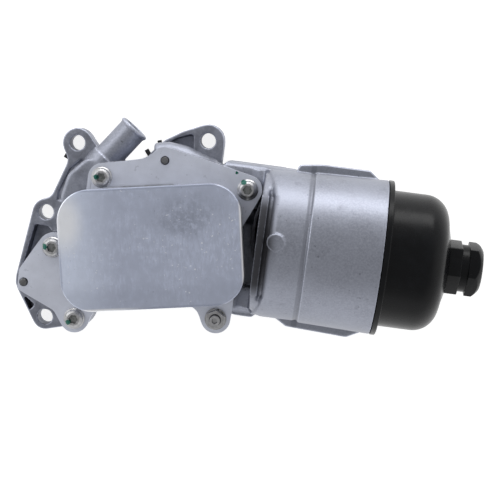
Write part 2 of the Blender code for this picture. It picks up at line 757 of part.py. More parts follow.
def make_housing():
    material = finish_material("cast_aluminium", (0.56, 0.57, 0.60), 0.38, 0.85)
    deep = -0.002
    body = slab("housing", [belt(FLANGE_OUTLINE)], deep, FLANGE_HEIGHT)
    dishes = [slab("pocket", [belt(pocket)], POCKET_FLOOR, FLANGE_HEIGHT + 0.001) for pocket in POCKETS]
    cut(body, merged("pockets", dishes))
    join(body, slab("pad", [belt(PLATE_OUTLINE, -PAD_STEP)], 1.5 * deep, PAD_HEIGHT))
    join(body, cradle(), bowl_outside(), cheeks(), crescent_wall(), *ribs())
    cut(body, slab("trench", [belt(TRENCH)], TRENCH_FLOOR, FLANGE_HEIGHT + 0.001))
    join(body, slab("gallery", [belt(GALLERY_OUTLINE)], -0.006, GALLERY_TOP, GALLERY_EDGE))
    stub_tube, stub_boss, stub_bore = stub()
    join(body, stub_boss, stub_tube)
    join(body, bent_tube("bulge", axial(BULGE_LINE, BULGE_Z), BULGE_RADIUS))
    join(body, cylinder("ejector mark", EJECTOR_RADIUS, 0.080, EJECTOR_TOP_Z, EJECTOR_PLACE))
    pin_high = PLATE_TOP + PIN_STANDS_OUT
    pins = [cylinder("pin", PIN_RADIUS, 0.030, pin_high, place, sides=12) for place in (PIN_TOP, PIN_LEFT)]
    join(body, merged("pins", pins))

    cut(body, box("below the face", (-0.1, -0.1, -0.02), (0.1, 0.1, 0)))
    ears = (EAR_1, EAR_2, EAR_3, EAR_4)
    bores = [cylinder("ear bore", EAR_BORE_RADIUS, -0.001, FLANGE_HEIGHT + 0.001, ear) for ear in ears]
    cut(body, merged("ear bores", bores))
    cut(body, merged("tapped holes", tapped_holes()))
    cut(body, bowl_inside())

    roof = PAD_HEIGHT - PAD_ROOF
    hollows = [slab("hollow", [belt(box_corners(*hollow, HOLLOW_CORNER))], -0.001, roof)
               for hollow in HOLLOWS.values()]
    cut(body, merged("hollows", hollows))
    ports = [cylinder("port", PORT_RADIUS, roof - 0.001, PAD_HEIGHT + 0.001, place, sides=16)
             for place in port_places()]
    cut(body, merged("ports", ports))
    cut(body, stub_bore, bent_tube("gallery bore", axial(GALLERY_LINE, GALLERY_Z), GALLERY_BORE_RADIUS))

    feed = cylinder("bowl feed", BOWL_FEED_RADIUS, 0, BOWL_FLOOR_X + 0.001 - BOWL_FEED_X, sides=12)
    cut(body, turned_along(feed, (BOWL_FEED_X, *BOWL_FEED), (1, 0, 0)))
    back = [(BOWL_FLOOR_X + 0.001, 0, BOWL_AXIS_Z), (BOWL_RETURN_X, 0, BOWL_AXIS_Z),
            (BOWL_RETURN_X, 0, -0.001)]
    cut(body, bent_tube("bowl return", back, BOWL_RETURN_RADIUS, 2))

    cut(body, gasket_groove())
    for name, hollow in HOLLOW_SEALS.items():
        corners = box_corners(*HOLLOWS[hollow], HOLLOW_CORNER)
        inner = belt(corners, SEAL_MARGIN - SEAT_GAP)
        outer = belt(corners, SEAL_MARGIN + PORT_SEAL_WIDTH + SEAT_GAP)
        cut(body, slab(f"{name} groove", [outer, inner], -0.001, PORT_SEAL_DEPTH + 2 * SEAT_GAP))
    grooves = []
    for place in port_places():
        inner = ring(PORT_RADIUS + SEAL_MARGIN - SEAT_GAP, ROUND, place)
        outer = ring(PORT_RADIUS + SEAL_MARGIN + PORT_SEAL_WIDTH + SEAT_GAP, ROUND, place)
        grooves.append(slab("port groove", [outer, inner], PAD_HEIGHT - PORT_SEAL_DEPTH, PAD_HEIGHT + 0.001))
    cut(body, merged("port grooves", grooves))
    return as_piece(body, "housing", material)


def make_mounting_seals():
    rubber = finish_material("mounting_gasket_rubber", (0.02, 0.02, 0.022), 0.6, 0.0)
    high = GASKET_HEIGHT + SEAT_GAP
    body = slab("mounting_gasket", [
        belt(GASKET_LINE, GASKET_WIDTH / 2), belt(GASKET_LINE, -GASKET_WIDTH / 2),
    ], SEAT_GAP, high)
    join(body, *gasket_tabs(0, SEAT_GAP, high))
    as_piece(body, "mounting_gasket", rubber)
    for name, hollow in HOLLOW_SEALS.items():
        corners = box_corners(*HOLLOWS[hollow], HOLLOW_CORNER)
        outlines = [belt(corners, SEAL_MARGIN + PORT_SEAL_WIDTH), belt(corners, SEAL_MARGIN)]
        seal = slab(name, outlines, SEAT_GAP, SEAT_GAP + PORT_SEAL_DEPTH)
        as_piece(seal, name, finish_material(f"{name}_rubber", (0.02, 0.02, 0.022), 0.6, 0.0))


def make_port_seals():
    rubber = finish_material("port_seal_rubber", (0.03, 0.03, 0.03), 0.55, 0.0)
    low = PAD_HEIGHT - PORT_SEAL_DEPTH + SEAT_GAP
    for number, place in enumerate(port_places(), 1):
        outlines = [
            ring(PORT_RADIUS + SEAL_MARGIN + PORT_SEAL_WIDTH, ROUND, place),
            ring(PORT_RADIUS + SEAL_MARGIN, ROUND, place),
        ]
        seal = slab("port_seal", outlines, low, PAD_HEIGHT)
        as_piece(seal, f"port_seal_{number}", rubber)


def make_base_plate():
    steel = finish_material("base_plate_sheet", (0.50, 0.50, 0.50), 0.42, 0.9)
    holes = [ring(BOLT_SHANK_RADIUS + 0.0004, 14, place)
             for place in (BOLT_TOP_LEFT, BOLT_TOP_RIGHT, BOLT_LEFT, BOLT_BOTTOM_LEFT, STUD_PLACE)]
    holes += [ring(PIN_HOLE_RADIUS, 14, place) for place in (PIN_TOP, PIN_LEFT)]
    holes += [ring(PORT_RADIUS, 16, place) for place in port_places()]
    low = PAD_HEIGHT + SEAT_GAP
    plate = slab("cooler_base_plate", [belt(PLATE_OUTLINE), *holes], low, PLATE_TOP)
    return as_piece(plate, "cooler_base_plate", steel)


def cooler_frame():
    frame = bpy.data.objects.new("cooler_place", None)
    CUTTERS.objects.link(frame)
    frame.location = (*COOLER_CENTRE, 0)
    frame.rotation_euler = Euler((0, 0, COOLER_TURN))
    bpy.context.view_layer.update()
    return frame


def rounded_rectangle(length, width, corner):
    return box_corners(-length / 2, -width / 2, length / 2, width / 2, corner)


def loft(name, rings):
    """A closed body through outlines of equal counts: (outline, height) from the bottom cap on."""
    bm = bmesh.new()
    loops = [[bm.verts.new((point.x, point.y, height)) for point in outline] for outline, height in rings]
    count = len(loops[0])
    bm.faces.new(list(reversed(loops[0])))
    for lower, upper in zip(loops, loops[1:]):
        for n in range(count):
            m = (n + 1) % count
            bm.faces.new((lower[n], lower[m], upper[m], upper[n]))
    bm.faces.new(loops[-1])
    return mesh_object(name, bm)


def core_tray(name, raised):
    """One dished plate of the stack. Two of its four ports are raised to seal against the next."""
    flare = CORE_RIM_FLARE * CORE_RIM_HEIGHT
    corners = rounded_rectangle(core_length(), core_width(), core_corner())
    floor_inset = CORE_RIM_FLARE * CORE_SHEET - CORE_SHEET
    body = loft(name, [
        (belt(corners), 0),
        (belt(corners, flare), CORE_RIM_HEIGHT),
        (belt(corners, flare - CORE_SHEET), CORE_RIM_HEIGHT),
        (belt(corners, floor_inset), CORE_SHEET),
    ])
    for corner in port_corners()[raised::2]:
        high = core_pitch() - SEAT_GAP
        join(body, cylinder("collar", PORT_COLLAR_RADIUS, CORE_SHEET / 2, high, corner, sides=14))
    holes = [cylinder("port", PORT_RADIUS, -0.001, CORE_RIM_HEIGHT, corner, sides=10)
             for corner in port_corners()]
    cut(body, merged("tray ports", holes))
    return baked(body)


def core_length():
    return COVER_LENGTH - 2 * (COVER_SHEET + SEAT_GAP + CORE_RIM_FLARE * CORE_RIM_HEIGHT)


def core_width():
    return COVER_WIDTH - 2 * (COVER_SHEET + SEAT_GAP + CORE_RIM_FLARE * CORE_RIM_HEIGHT)


def core_corner():
    return COVER_CORNER - COVER_SHEET - SEAT_GAP - CORE_RIM_FLARE * CORE_RIM_HEIGHT


def core_start():
    return PLATE_TOP + SEAT_GAP + CORE_BASE_SHEET + SEAT_GAP


def core_pitch():
    last_floor = COVER_TOP - COVER_SHEET - SEAT_GAP - CORE_RIM_HEIGHT
    return (last_floor - core_start()) / (CORE_PLATES - 1)


def make_cooler():
    frame = cooler_frame()
    low = PLATE_TOP + SEAT_GAP
    half_width = core_width() / 2
    outline = rounded_rectangle(core_length(), core_width(), core_corner())
    base = slab("core_base", [belt(outline)], low, low + CORE_BASE_SHEET)
    lip_end = COVER_WIDTH / 2 - LIP_REACH
    lip = belt(box_corners(LIP_START, half_width - 0.004, LIP_END, lip_end, 0.0006))
    join(base, slab("lip", [lip], low + 0.0001, low + CORE_BASE_SHEET - 0.0001))
    holes = [cylinder("port", PORT_RADIUS, low - 0.001, low + 0.004, corner, sides=16)
             for corner in port_corners()]
    cut(base, merged("core base ports", holes))
    finish = finish_material("core_base_sheet", (0.50, 0.51, 0.52), 0.4, 0.9)
    base = as_piece(baked(base), "core_base", finish)
    base.matrix_world = frame.matrix_world @ base.matrix_world

    sheet = finish_material("core_plate_sheet", (0.48, 0.49, 0.51), 0.38, 0.9)
    trays = [core_tray("core_tray", 0), core_tray("core_tray_turned", 1)]
    for number in range(CORE_PLATES):
        mesh = trays[number % 2].data
        plate = bpy.data.objects.new(f"core_plate_{number + 1}", mesh)
        PARTS.objects.link(plate)
        place = Matrix.Translation((0, 0, core_start() + number * core_pitch()))
        plate.matrix_world = frame.matrix_world @ place
        if not mesh.materials:
            mesh.materials.append(sheet)
            smooth(plate)
    for tray in trays:
        bpy.data.objects.remove(tray, do_unlink=True)

    cover_corners = rounded_rectangle(COVER_LENGTH, COVER_WIDTH, COVER_CORNER)
    inner = COVER_TOP - COVER_SHEET
    skirt = inner - COVER_SKIRT
    cover = loft("cooler_cover", [
        (belt(cover_corners, -COVER_SHEET), inner),
        (belt(cover_corners, -COVER_SHEET), skirt),
        (belt(cover_corners), skirt),
        (belt(cover_corners), COVER_TOP - 0.0006),
        (belt(cover_corners, -0.0006), COVER_TOP),
    ])
    cover = as_piece(cover, "cooler_cover", finish_material("cover_sheet", (0.50, 0.53, 0.58), 0.33, 0.85))
    cover.matrix_world = frame.matrix_world


def drive_recess(low, high, centre):
    """Six-lobed socket as one helper."""
    lobes = []
    for n in range(6):
        angle = math.tau * n / 6
        lobes.append((DRIVE_RADIUS - DRIVE_LOBE_RADIUS) * Vector((math.cos(angle), math.sin(angle))))
    circles = []
    for n, lobe in enumerate(lobes):
        circles.append((centre[0] + lobe.x, centre[1] + lobe.y, DRIVE_LOBE_RADIUS))
        angle = math.tau * (n + 0.5) / 6
        reach = DRIVE_RADIUS * 1.12
        across, up = centre[0] + reach * math.cos(angle), centre[1] + reach * math.sin(angle)
        circles.append((across, up, -DRIVE_LOBE_RADIUS))
    return slab("drive recess", [belt(circles, 0, math.radians(60))], low, high)


def make_bolts():
    zinc = finish_material("bolt_zinc", (0.50, 0.53, 0.52), 0.35, 0.9)
    seat = PLATE_TOP + SEAT_GAP
    top = seat + BOLT_HEAD_HEIGHT
    places = {
        "bolt_top_left": BOLT_TOP_LEFT,
        "bolt_top_right": BOLT_TOP_RIGHT,
        "bolt_left": BOLT_LEFT,
        "bolt_bottom_left": BOLT_BOTTOM_LEFT,
    }
    profile = [
        (0, top),
        (BOLT_HEAD_RADIUS - 0.0016, top),
        (BOLT_HEAD_RADIUS - 0.0004, top - 0.0009),
        (BOLT_HEAD_RADIUS, top - 0.0022),
        (BOLT_HEAD_RADIUS, seat + BOLT_FLANGE_HEIGHT),
        (BOLT_FLANGE_RADIUS, seat + 0.0007),
        (BOLT_FLANGE_RADIUS, seat),
        (BOLT_SHANK_RADIUS, seat),
        (BOLT_SHANK_RADIUS, PAD_HEIGHT - BOLT_SHANK_LENGTH + 0.001),
        (0, PAD_HEIGHT - BOLT_SHANK_LENGTH + 0.001),
    ]
    body = turned("bolt", profile, sides=18)
    cut(body, drive_recess(top - DRIVE_DEPTH, top + 0.001, (0, 0)))
    body = as_piece(baked(body), "bolt", zinc)
    for name, place in places.items():
        bolt = bpy.data.objects.new(name, body.data)
        PARTS.objects.link(bolt)
        bolt.location = (*place, 0)
    bpy.data.objects.remove(body, do_unlink=True)


def make_stud_and_nut():
    seat = PLATE_TOP + SEAT_GAP
    top = PLATE_TOP + STUD_STANDS_OUT
    radius = BOLT_SHANK_RADIUS
    low = PAD_HEIGHT - BOLT_SHANK_LENGTH + 0.001
    stud = cylinder("stud", radius, low, top, STUD_PLACE, sides=16)
    hexagon = SOCKET_ACROSS_FLATS / math.sqrt(3)
    cut(stud, cylinder("stud socket", hexagon, top - SOCKET_DEPTH, top + 0.001, STUD_PLACE, sides=6))
    as_piece(stud, "stud", finish_material("stud_zinc", (0.45, 0.47, 0.46), 0.35, 0.9))
    across = NUT_ACROSS_FLATS / math.sqrt(3)
    nut = cylinder("flange_nut", NUT_FLANGE_RADIUS, seat, seat + NUT_FLANGE_HEIGHT, STUD_PLACE, sides=24)
    low, high = seat + NUT_FLANGE_HEIGHT / 2, seat + NUT_HEIGHT
    join(nut, cylinder("nut hexagon", across, low, high, STUD_PLACE, sides=6))
    bore = radius + SEAT_GAP
    cut(nut, cylinder("nut bore", bore, seat - 0.001, seat + NUT_HEIGHT + 0.001, STUD_PLACE, sides=16))
    as_piece(nut, "flange_nut", finish_material("nut_zinc", (0.42, 0.44, 0.43), 0.38, 0.9))


def make_cap():
    plastic = finish_material("cap_plastic", (0.012, 0.012, 0.014), 0.32, 0.0)
    ring_start = BOWL_MOUTH_X + SEAT_GAP
    ring_end = ring_start + CAP_RING_LENGTH
    spigot = BOWL_SEAL_RADIUS - SLIDE_GAP
    thread = BOWL_THREAD_RADIUS - SLIDE_GAP
    spigot_end = BOWL_MOUTH_X - BOWL_SEAL_LENGTH + 0.0006
    groove = spigot - 2 * O_RING_SECTION - SEAT_GAP
    groove_top = BOWL_MOUTH_X - O_RING_PLACE + O_RING_SECTION + SEAT_GAP
    groove_low = groove_top - 2 * O_RING_SECTION - 2 * SEAT_GAP
    low = BOWL_MOUTH_X - CAP_SPIGOT_LENGTH
    dome = CAP_BODY_END_X + CAP_CORNER_RADIUS
    flat = CAP_BODY_RADIUS - CAP_CORNER_RADIUS
    collar = CAP_HEX_FLATS / math.sqrt(3)
    profile = [
        (0, dome + CAP_DOME_RISE),
        (collar + 0.0006, dome + CAP_DOME_RISE),
        *arc((flat, CAP_BODY_END_X), CAP_CORNER_RADIUS, 86, 0, 7),
        (CAP_BODY_RADIUS, ring_end),
        (CAP_RING_RADIUS - 0.0005, ring_end),
        (CAP_RING_RADIUS, ring_end - 0.0006),
        (CAP_RING_RADIUS, ring_start),
        (spigot, ring_start),
        (spigot, groove_top),
        (groove, groove_top),
        (groove, groove_low),
        (spigot, groove_low),
        (spigot, spigot_end),
        (thread, spigot_end),
        (thread, low),
        (thread - CAP_WALL, low),
        (thread - CAP_WALL, CAP_BODY_END_X),
        *arc((flat, CAP_BODY_END_X), CAP_CORNER_RADIUS - CAP_WALL, 10, 80, 4),
        (CAP_HUB_RADIUS, dome - CAP_WALL),
        (CAP_HUB_RADIUS, element_end() + SEAT_GAP),
        (CAP_HUB_RADIUS - CAP_HUB_WALL, element_end() + SEAT_GAP),
        (CAP_HUB_RADIUS - CAP_HUB_WALL, dome - CAP_WALL),
        (0, dome - CAP_WALL),
    ]
    cap = on_bowl_axis(turned("filter_cap", profile))
    cap = baked(cap)
    turn = CAP_HEX_TURN
    first = cylinder("collar hexagon", collar, dome - 0.001, CAP_COLLAR_END_X, sides=6, turn=turn)
    join(cap, on_bowl_axis(first))
    neck = cylinder("neck", CAP_NECK_RADIUS, CAP_COLLAR_END_X - 0.001, CAP_HEX_START_X + 0.001, sides=24)
    join(cap, on_bowl_axis(neck))
    outer = on_bowl_axis(cylinder("hexagon", collar, CAP_HEX_START_X, CAP_HEX_END_X, sides=6, turn=turn))
    crown = turned("hexagon crown", [
        (0, CAP_HEX_END_X - 0.00001),
        (CAP_HEX_END_RADIUS, CAP_HEX_END_X - 0.00001),
        (collar - 0.0016, CAP_HEX_CHAMFER_X + 0.0014),
        (collar + 0.0002, CAP_HEX_CHAMFER_X - 0.0006),
        (collar + 0.0002, CAP_HEX_START_X - 0.001),
        (0, CAP_HEX_START_X - 0.001),
    ], sides=24)
    boolean(outer, on_bowl_axis(crown), "INTERSECT")
    join(cap, baked(outer))
    as_piece(baked(cap), "filter_cap", plastic)

    middle = spigot - O_RING_SECTION - SEAT_GAP / 2
    section = arc((middle, BOWL_MOUTH_X - O_RING_PLACE), O_RING_SECTION - SEAT_GAP / 2, 90, -270, 6)[:-1]
    o_ring = on_bowl_axis(turned("cap_o_ring", section, sides=32, closed=True))
    as_piece(baked(o_ring), "cap_o_ring", finish_material("o_ring_rubber", (0.02, 0.02, 0.02), 0.5, 0.0))


def element_end():
    return ELEMENT_START_X + ELEMENT_LENGTH


def make_element():
    low = ELEMENT_START_X + ELEMENT_DISC + SEAT_GAP
    high = element_end() - ELEMENT_DISC - SEAT_GAP
    folds_out, folds_in = [], []
    paper = 0.0011
    for n in range(2 * ELEMENT_PLEATS):
        angle = math.tau * n / (2 * ELEMENT_PLEATS)
        out = ELEMENT_RADIUS - 0.0008 if n % 2 else ELEMENT_BORE_RADIUS + 0.0009 + 3 * paper
        inside = out - 3 * paper if n % 2 == 0 else out - 5 * paper
        folds_out.append(Vector((out * math.cos(angle), out * math.sin(angle))))
        folds_in.append(Vector((inside * math.cos(angle), inside * math.sin(angle))))
    media = on_bowl_axis(slab("filter_media", [folds_out, folds_in], low, high))
    as_piece(media, "filter_media", finish_material("filter_paper", (0.75, 0.62, 0.35), 0.9, 0.0))

    bore = STANDPIPE_RADIUS + SLIDE_GAP
    green = finish_material("end_disc_plastic", (0.10, 0.22, 0.12), 0.5, 0.0)
    places = {
        "element_end_disc_inner": ELEMENT_START_X,
        "element_end_disc_outer": element_end() - ELEMENT_DISC,
    }
    for name, start in places.items():
        outlines = [ring(ELEMENT_RADIUS, 32), ring(bore, 20)]
        disc = slab(name, outlines, start, start + ELEMENT_DISC)
        as_piece(on_bowl_axis(disc), name, green)

    tube_radius = ELEMENT_BORE_RADIUS
    tube = turned("centre_tube", [
        (tube_radius, high), (tube_radius, low),
        (tube_radius - CENTRE_TUBE_WALL, low), (tube_radius - CENTRE_TUBE_WALL, high),
    ], sides=24, closed=True)
    slots = []
    spacing = (high - low) / CENTRE_TUBE_ROWS
    for row in range(CENTRE_TUBE_ROWS):
        middle = low + spacing * (row + 0.5)
        for slot in range(CENTRE_TUBE_SLOTS // 2):
            angle = math.pi * (slot + 0.25) / (CENTRE_TUBE_SLOTS // 2)
            half = 0.4 * spacing
            bar = box("slot", (-0.03, -0.0045, middle - half), (0.03, 0.0045, middle + half))
            bar.data.transform(Matrix.Rotation(angle, 4, "Z"))
            slots.append(bar)
    for bar in slots:
        cut(tube, on_bowl_axis(bar))
    tube = baked(on_bowl_axis(tube))
    as_piece(tube, "centre_tube", finish_material("centre_tube_plastic", (0.08, 0.20, 0.10), 0.5, 0.0))


def make_standpipe_and_valve():
    foot = BOWL_FLOOR_X + SEAT_GAP
    head = element_end() - SEAT_GAP
    seat_low = head - SEAT_HEIGHT
    poppet_top = seat_low - SEAT_GAP
    poppet_low = poppet_top - POPPET_THICKNESS
    stem_end = poppet_top - POPPET_LENGTH
    retainer_top = stem_end + 0.0008
    retainer_low = retainer_top - RETAINER_HEIGHT
    ledge = retainer_low - SEAT_GAP
    pipe = on_bowl_axis(turned("standpipe", [
        (STANDPIPE_RADIUS, head),
        (STANDPIPE_RADIUS, foot + STANDPIPE_FOOT_HEIGHT),
        (STANDPIPE_FOOT_RADIUS, foot + STANDPIPE_FOOT_HEIGHT),
        (STANDPIPE_FOOT_RADIUS, foot),
        (STANDPIPE_LEDGE_BORE, foot),
        (STANDPIPE_LEDGE_BORE, ledge),
        (STANDPIPE_BORE, ledge),
        (STANDPIPE_BORE, seat_low),
        (SEAT_BORE, seat_low),
        (SEAT_BORE, head),
    ], sides=18, closed=True))
    for turn in (0, 90):
        bar = box("pipe window", (-0.03, -0.0032, foot + 0.010), (0.03, 0.0032, ledge - 0.006))
        bar.data.transform(Matrix.Rotation(math.radians(turn + 45), 4, "Z"))
        cut(pipe, on_bowl_axis(bar))
    as_piece(baked(pipe), "standpipe", finish_material("standpipe_plastic", (0.05, 0.05, 0.05), 0.45, 0.0))

    poppet = on_bowl_axis(turned("bypass_poppet", [
        (0, poppet_top),
        (STANDPIPE_BORE - SLIDE_GAP, poppet_top),
        (STANDPIPE_BORE - SLIDE_GAP, poppet_low),
        (POPPET_STEM_RADIUS, poppet_low),
        (POPPET_STEM_RADIUS, stem_end),
        (0, stem_end),
    ], sides=18))
    as_piece(baked(poppet), "bypass_poppet", finish_material("poppet_plastic", (0.7, 0.7, 0.66), 0.5, 0.0))
    retainer = on_bowl_axis(turned("bypass_retainer", [
        (STANDPIPE_BORE - SEAT_GAP, retainer_top),
        (STANDPIPE_BORE - SEAT_GAP, retainer_low),
        (POPPET_STEM_RADIUS + SLIDE_GAP, retainer_low),
        (POPPET_STEM_RADIUS + SLIDE_GAP, retainer_top),
    ], sides=18, closed=True))
    as_piece(baked(retainer), "bypass_retainer", finish_material("retainer_steel", (0.5, 0.5, 0.5), 0.4, 1.0))

    start = retainer_top + SEAT_GAP + SPRING_WIRE_RADIUS
    end = poppet_low - SEAT_GAP - SPRING_WIRE_RADIUS
    points = []
    steps = SPRING_TURNS * 9
    for step in range(steps + 1):
        angle = math.tau * step / 9
        along = start + (end - start) * step / steps
        points.append((along, SPRING_RADIUS * math.cos(angle), BOWL_AXIS_Z + SPRING_RADIUS * math.sin(angle)))
    spring = bent_tube("bypass_spring", points, SPRING_WIRE_RADIUS, 0)
    as_piece(spring, "bypass_spring", finish_material("spring_steel", (0.55, 0.55, 0.55), 0.3, 1.0))


make_housing()
make_mounting_seals()
make_port_seals()
make_base_plate()
make_cooler()
make_bolts()
make_stud_and_nut()
make_cap()
make_element()
make_standpipe_and_valve()
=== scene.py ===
"""Looks of an engine oil cooler: its fine surfaces, finishes, light and camera."""

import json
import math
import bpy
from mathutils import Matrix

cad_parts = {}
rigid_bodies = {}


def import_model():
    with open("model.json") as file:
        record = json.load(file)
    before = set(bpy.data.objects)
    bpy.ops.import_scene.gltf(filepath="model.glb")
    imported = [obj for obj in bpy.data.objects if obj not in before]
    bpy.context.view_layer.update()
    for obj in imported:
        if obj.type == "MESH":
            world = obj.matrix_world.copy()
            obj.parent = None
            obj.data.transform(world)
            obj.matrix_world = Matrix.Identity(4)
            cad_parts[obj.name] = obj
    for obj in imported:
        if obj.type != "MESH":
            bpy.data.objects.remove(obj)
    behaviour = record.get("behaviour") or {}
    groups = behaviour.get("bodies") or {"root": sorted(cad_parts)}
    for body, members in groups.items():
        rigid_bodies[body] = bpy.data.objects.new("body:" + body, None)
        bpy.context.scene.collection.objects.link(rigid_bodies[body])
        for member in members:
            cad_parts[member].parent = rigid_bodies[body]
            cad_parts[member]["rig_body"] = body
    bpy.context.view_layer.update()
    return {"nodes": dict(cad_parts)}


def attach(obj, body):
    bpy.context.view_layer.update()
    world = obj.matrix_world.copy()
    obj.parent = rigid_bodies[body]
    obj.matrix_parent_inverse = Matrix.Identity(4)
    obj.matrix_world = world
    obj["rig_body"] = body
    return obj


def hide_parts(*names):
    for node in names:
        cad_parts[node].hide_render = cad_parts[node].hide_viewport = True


bl_info = {
    "name": "Engine oil cooler",
    "version": (1, 0, 0),
    "blender": (4, 5, 0),
    "location": "3D View > Sidebar > Oil Cooler",
    "description": "Dresses the packed solids of an engine oil cooler for a studio picture",
    "category": "Object",
}

import bpy
from mathutils import Matrix, Vector

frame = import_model()

# The turned bowl, in metres: places along its axis, and radii
BOWL_AXIS_Z = 0.045
BOWL_MOUTH_X = 0.1288
BOWL_MOUTH_RADIUS = 0.0432
BOWL_STEP_X = 0.0886
BOWL_STEP_RADIUS = 0.0420
BOWL_BACK_RADIUS = 0.0413
BOWL_SKIN = 0.0020
SHOULDER_CENTRE = (0.0712, 0.0373)
SHOULDER_ROUND = 0.004
GROOVE = (0.0854, 0.0884)
GROOVE_DEPTH = 0.0008

# The casting round the bowl
GALLERY_ROOT = (
    (-0.0455, 0.0320), (-0.0482, 0.0290), (-0.0512, 0.0250), (-0.0537, 0.0200),
    (-0.0554, 0.0148), (-0.0566, 0.0098), (-0.0574, 0.0050),
)
GALLERY_ROOT_RADIUS = 0.0035
GALLERY_ROOT_Z = 0.0095
CHEEK_RUN_OUT_X = (0.0600, 0.0765)
CHEEK_RUN_OUT_Y = 0.0275
CHEEK_RUN_OUT_Z = 0.048
UPPER_BULGE = ((-0.0080, 0.0370), (0.0385, 0.0540), (0.0165, 0.0365))
PINS = ((0.0031, 0.0379), (-0.0683, -0.0407))
PIN_RADIUS = 0.0020
PIN_TOP = 0.0406
PIN_HEIGHT = 0.0030

# Where the casting's grime starts and ends, and where the painted shade in the valley between the cooler and
# the bowl starts and ends
GRIME_Z = (0.012, 0.040)
VALLEY_START_X = (0.0535, 0.0560)
VALLEY_END_X = (0.0665, 0.0735)
VALLEY_SLANT = 0.12
VALLEY_HALF_WIDTH = (0.019, 0.034)
VALLEY_Z = (0.020, 0.030)

# The cooler
COOLER_CENTRE = (0.0041, -0.0088)
COOLER_TURN = math.radians(10.3)
COVER_SIZE = (0.1004, 0.0666)
COVER_CORNER = 0.0172
COVER_HEIGHTS = (0.0690, 0.0740)
COVER_WALL = 0.0016

# Painted light and shade on the cover, measured along its own sides from its middle: where each starts and
# ends. The rim gets painted shade and, on its right and lower edges, a painted highlight; the left side gets
# painted light and the lower part painted shade.
RIM_EDGE = (-0.0018, -0.0006)
RIM_HIGHLIGHT_RIGHT = (0.036, 0.044)
RIM_HIGHLIGHT_LOWER = (0.020, 0.028)
RIM_HIGHLIGHT_LOWER_END = (-0.030, 0.0)
PAINTED_LIGHT_LEFT = (-0.048, -0.015)
PAINTED_SHADE_LOWER = (-0.024, -0.014)

# Oval marks on the cover, a dark blotch and a painted glint: the centre, and the weight of each direction
BLOTCH = ((0.021, 0.014), (0.5, 1.0))
BLOTCH_REACH = (0.004, 0.018)
GLINT = ((-0.047, 0.016), (1.0, 0.4))
GLINT_REACH = (0.003, 0.014)

# The bolts' drive sockets: how wide they are, and how far below the top their painted shade fades in
BOLTS = ("bolt_top_left", "bolt_top_right", "bolt_left", "bolt_bottom_left")
SOCKET_RADIUS = 0.0033
SOCKET_SHADE = (0.0011, 0.0006)

# The inspector's dabs of paint: x, y and radius of each
PAINT_MARKS = (
    (-0.0338, 0.0241, 0.0014), (0.0488, 0.0314, 0.0015), (-0.0580, -0.0187, 0.0016),
    (-0.0399, -0.0594, 0.0015), (0.0441, 0.0362, 0.0006),
)
PAINT_RAGGED = 0.0022
PAINT_SOFT = 0.0002

# Solids that are shown themselves, by what they are made of
PAPER_NODES = ("filter_media",)
PLASTIC_NODES = (
    "element_end_disc_inner", "element_end_disc_outer", "centre_tube", "standpipe", "bypass_poppet",
)
STEEL_NODES = ("bypass_spring", "bypass_retainer")
RUBBER_NODES = (
    "mounting_gasket", "oil_inlet_seal", "oil_passage_seal", "cap_o_ring",
    "port_seal_1", "port_seal_2", "port_seal_3", "port_seal_4",
)

# The screw cap: places along the bowl's axis, and radii
CAP_RING = (0.1291, 0.1319, 0.0434)
CAP_BODY = (0.1510, 0.0381, 0.0135)
CAP_CROWN_X = 0.1668
CAP_CROWN_RADIUS = 0.0162
CAP_RECESS_RADIUS = 0.0118
CAP_RECESS_X = 0.1608
CAP_HEXAGON = (0.01559, math.radians(43))
CAP_COLLAR_END_X = 0.1741
CAP_NECK_RADIUS = 0.0132
CAP_HEAD = (0.1780, 0.1859)
CAP_HEAD_ROUND = (0.0122, 0.0112)
CAP_HOLLOW = ((0.1510, 0.0351), (0.1600, 0.0290), (0.1608, 0.0130))
SPIGOT_RADIUS = 0.0402
SPIGOT_SEAL_GROOVE = (0.1236, 0.1270, 0.0371)
SPIGOT_STEP_X = 0.1225
SPIGOT_THREAD = (0.1103, 0.1222, 0.0385)
SPIGOT_BORE_RADIUS = 0.0355

# The picture's own frame
VIEW_TARGET = (0.0571, -0.0054, 0.045)
VIEW_DISTANCE = 0.85
VIEW_ROLL = math.radians(7.5)
VIEW_TILT = math.radians(5)
VIEW_SIDE = math.radians(2)
VIEW_WIDTH = 0.280
SENSOR = 36

# The studio: place, size and power of each soft lamp
LAMPS = {
    "top": ((0.05, 1.10, 0.20), (1.2, 0.40), 5.9),
    "left": ((-0.90, 0.40, 0.65), (0.7, 0.7), 3.0),
    "right": ((1.10, 0.10, 0.50), (0.6, 0.8), 0.3),
    "front": ((0.10, -1.10, 0.45), (1.2, 0.4), 0.2),
}
LAMP_TARGET = (0.05, 0, 0.04)
FLOOR_SIZE = 6
FLOOR_CENTRE = (0.05, 0, 0)
CEILING_HEIGHTS = (0.25, 0.85)


def select_only(*objects):
    """Leaves edit mode and selects these objects alone, the first of them active."""
    if bpy.context.object and bpy.context.object.mode != "OBJECT":
        bpy.ops.object.mode_set(mode="OBJECT")
    bpy.ops.object.select_all(action="DESELECT")
    for obj in objects:
        obj.select_set(True)
    bpy.context.view_layer.objects.active = objects[0]


def edit(obj, kind="VERT"):
    """Opens an object for editing its points, edges or faces."""
    select_only(obj)
    bpy.ops.object.mode_set(mode="EDIT")
    bpy.ops.mesh.select_mode(type=kind)


def leave_edit():
    bpy.ops.object.mode_set(mode="OBJECT")


def modify(obj, kind, **settings):
    """Adds a modifier and applies it, so that the mesh itself carries the result."""
    select_only(obj)
    modifier = obj.modifiers.new(kind.lower(), kind)
    for key, value in settings.items():
        setattr(modifier, key, value)
    bpy.ops.object.modifier_apply(modifier=modifier.name)


def settle(obj, angle=30):
    """Puts an object's place into its mesh and smooths its round faces."""
    select_only(obj)
    bpy.ops.object.transform_apply(location=True, rotation=True, scale=True)
    bpy.ops.object.shade_smooth_by_angle(angle=math.radians(angle))
    return obj


def body_of(node):
    return frame["nodes"][node]["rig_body"]


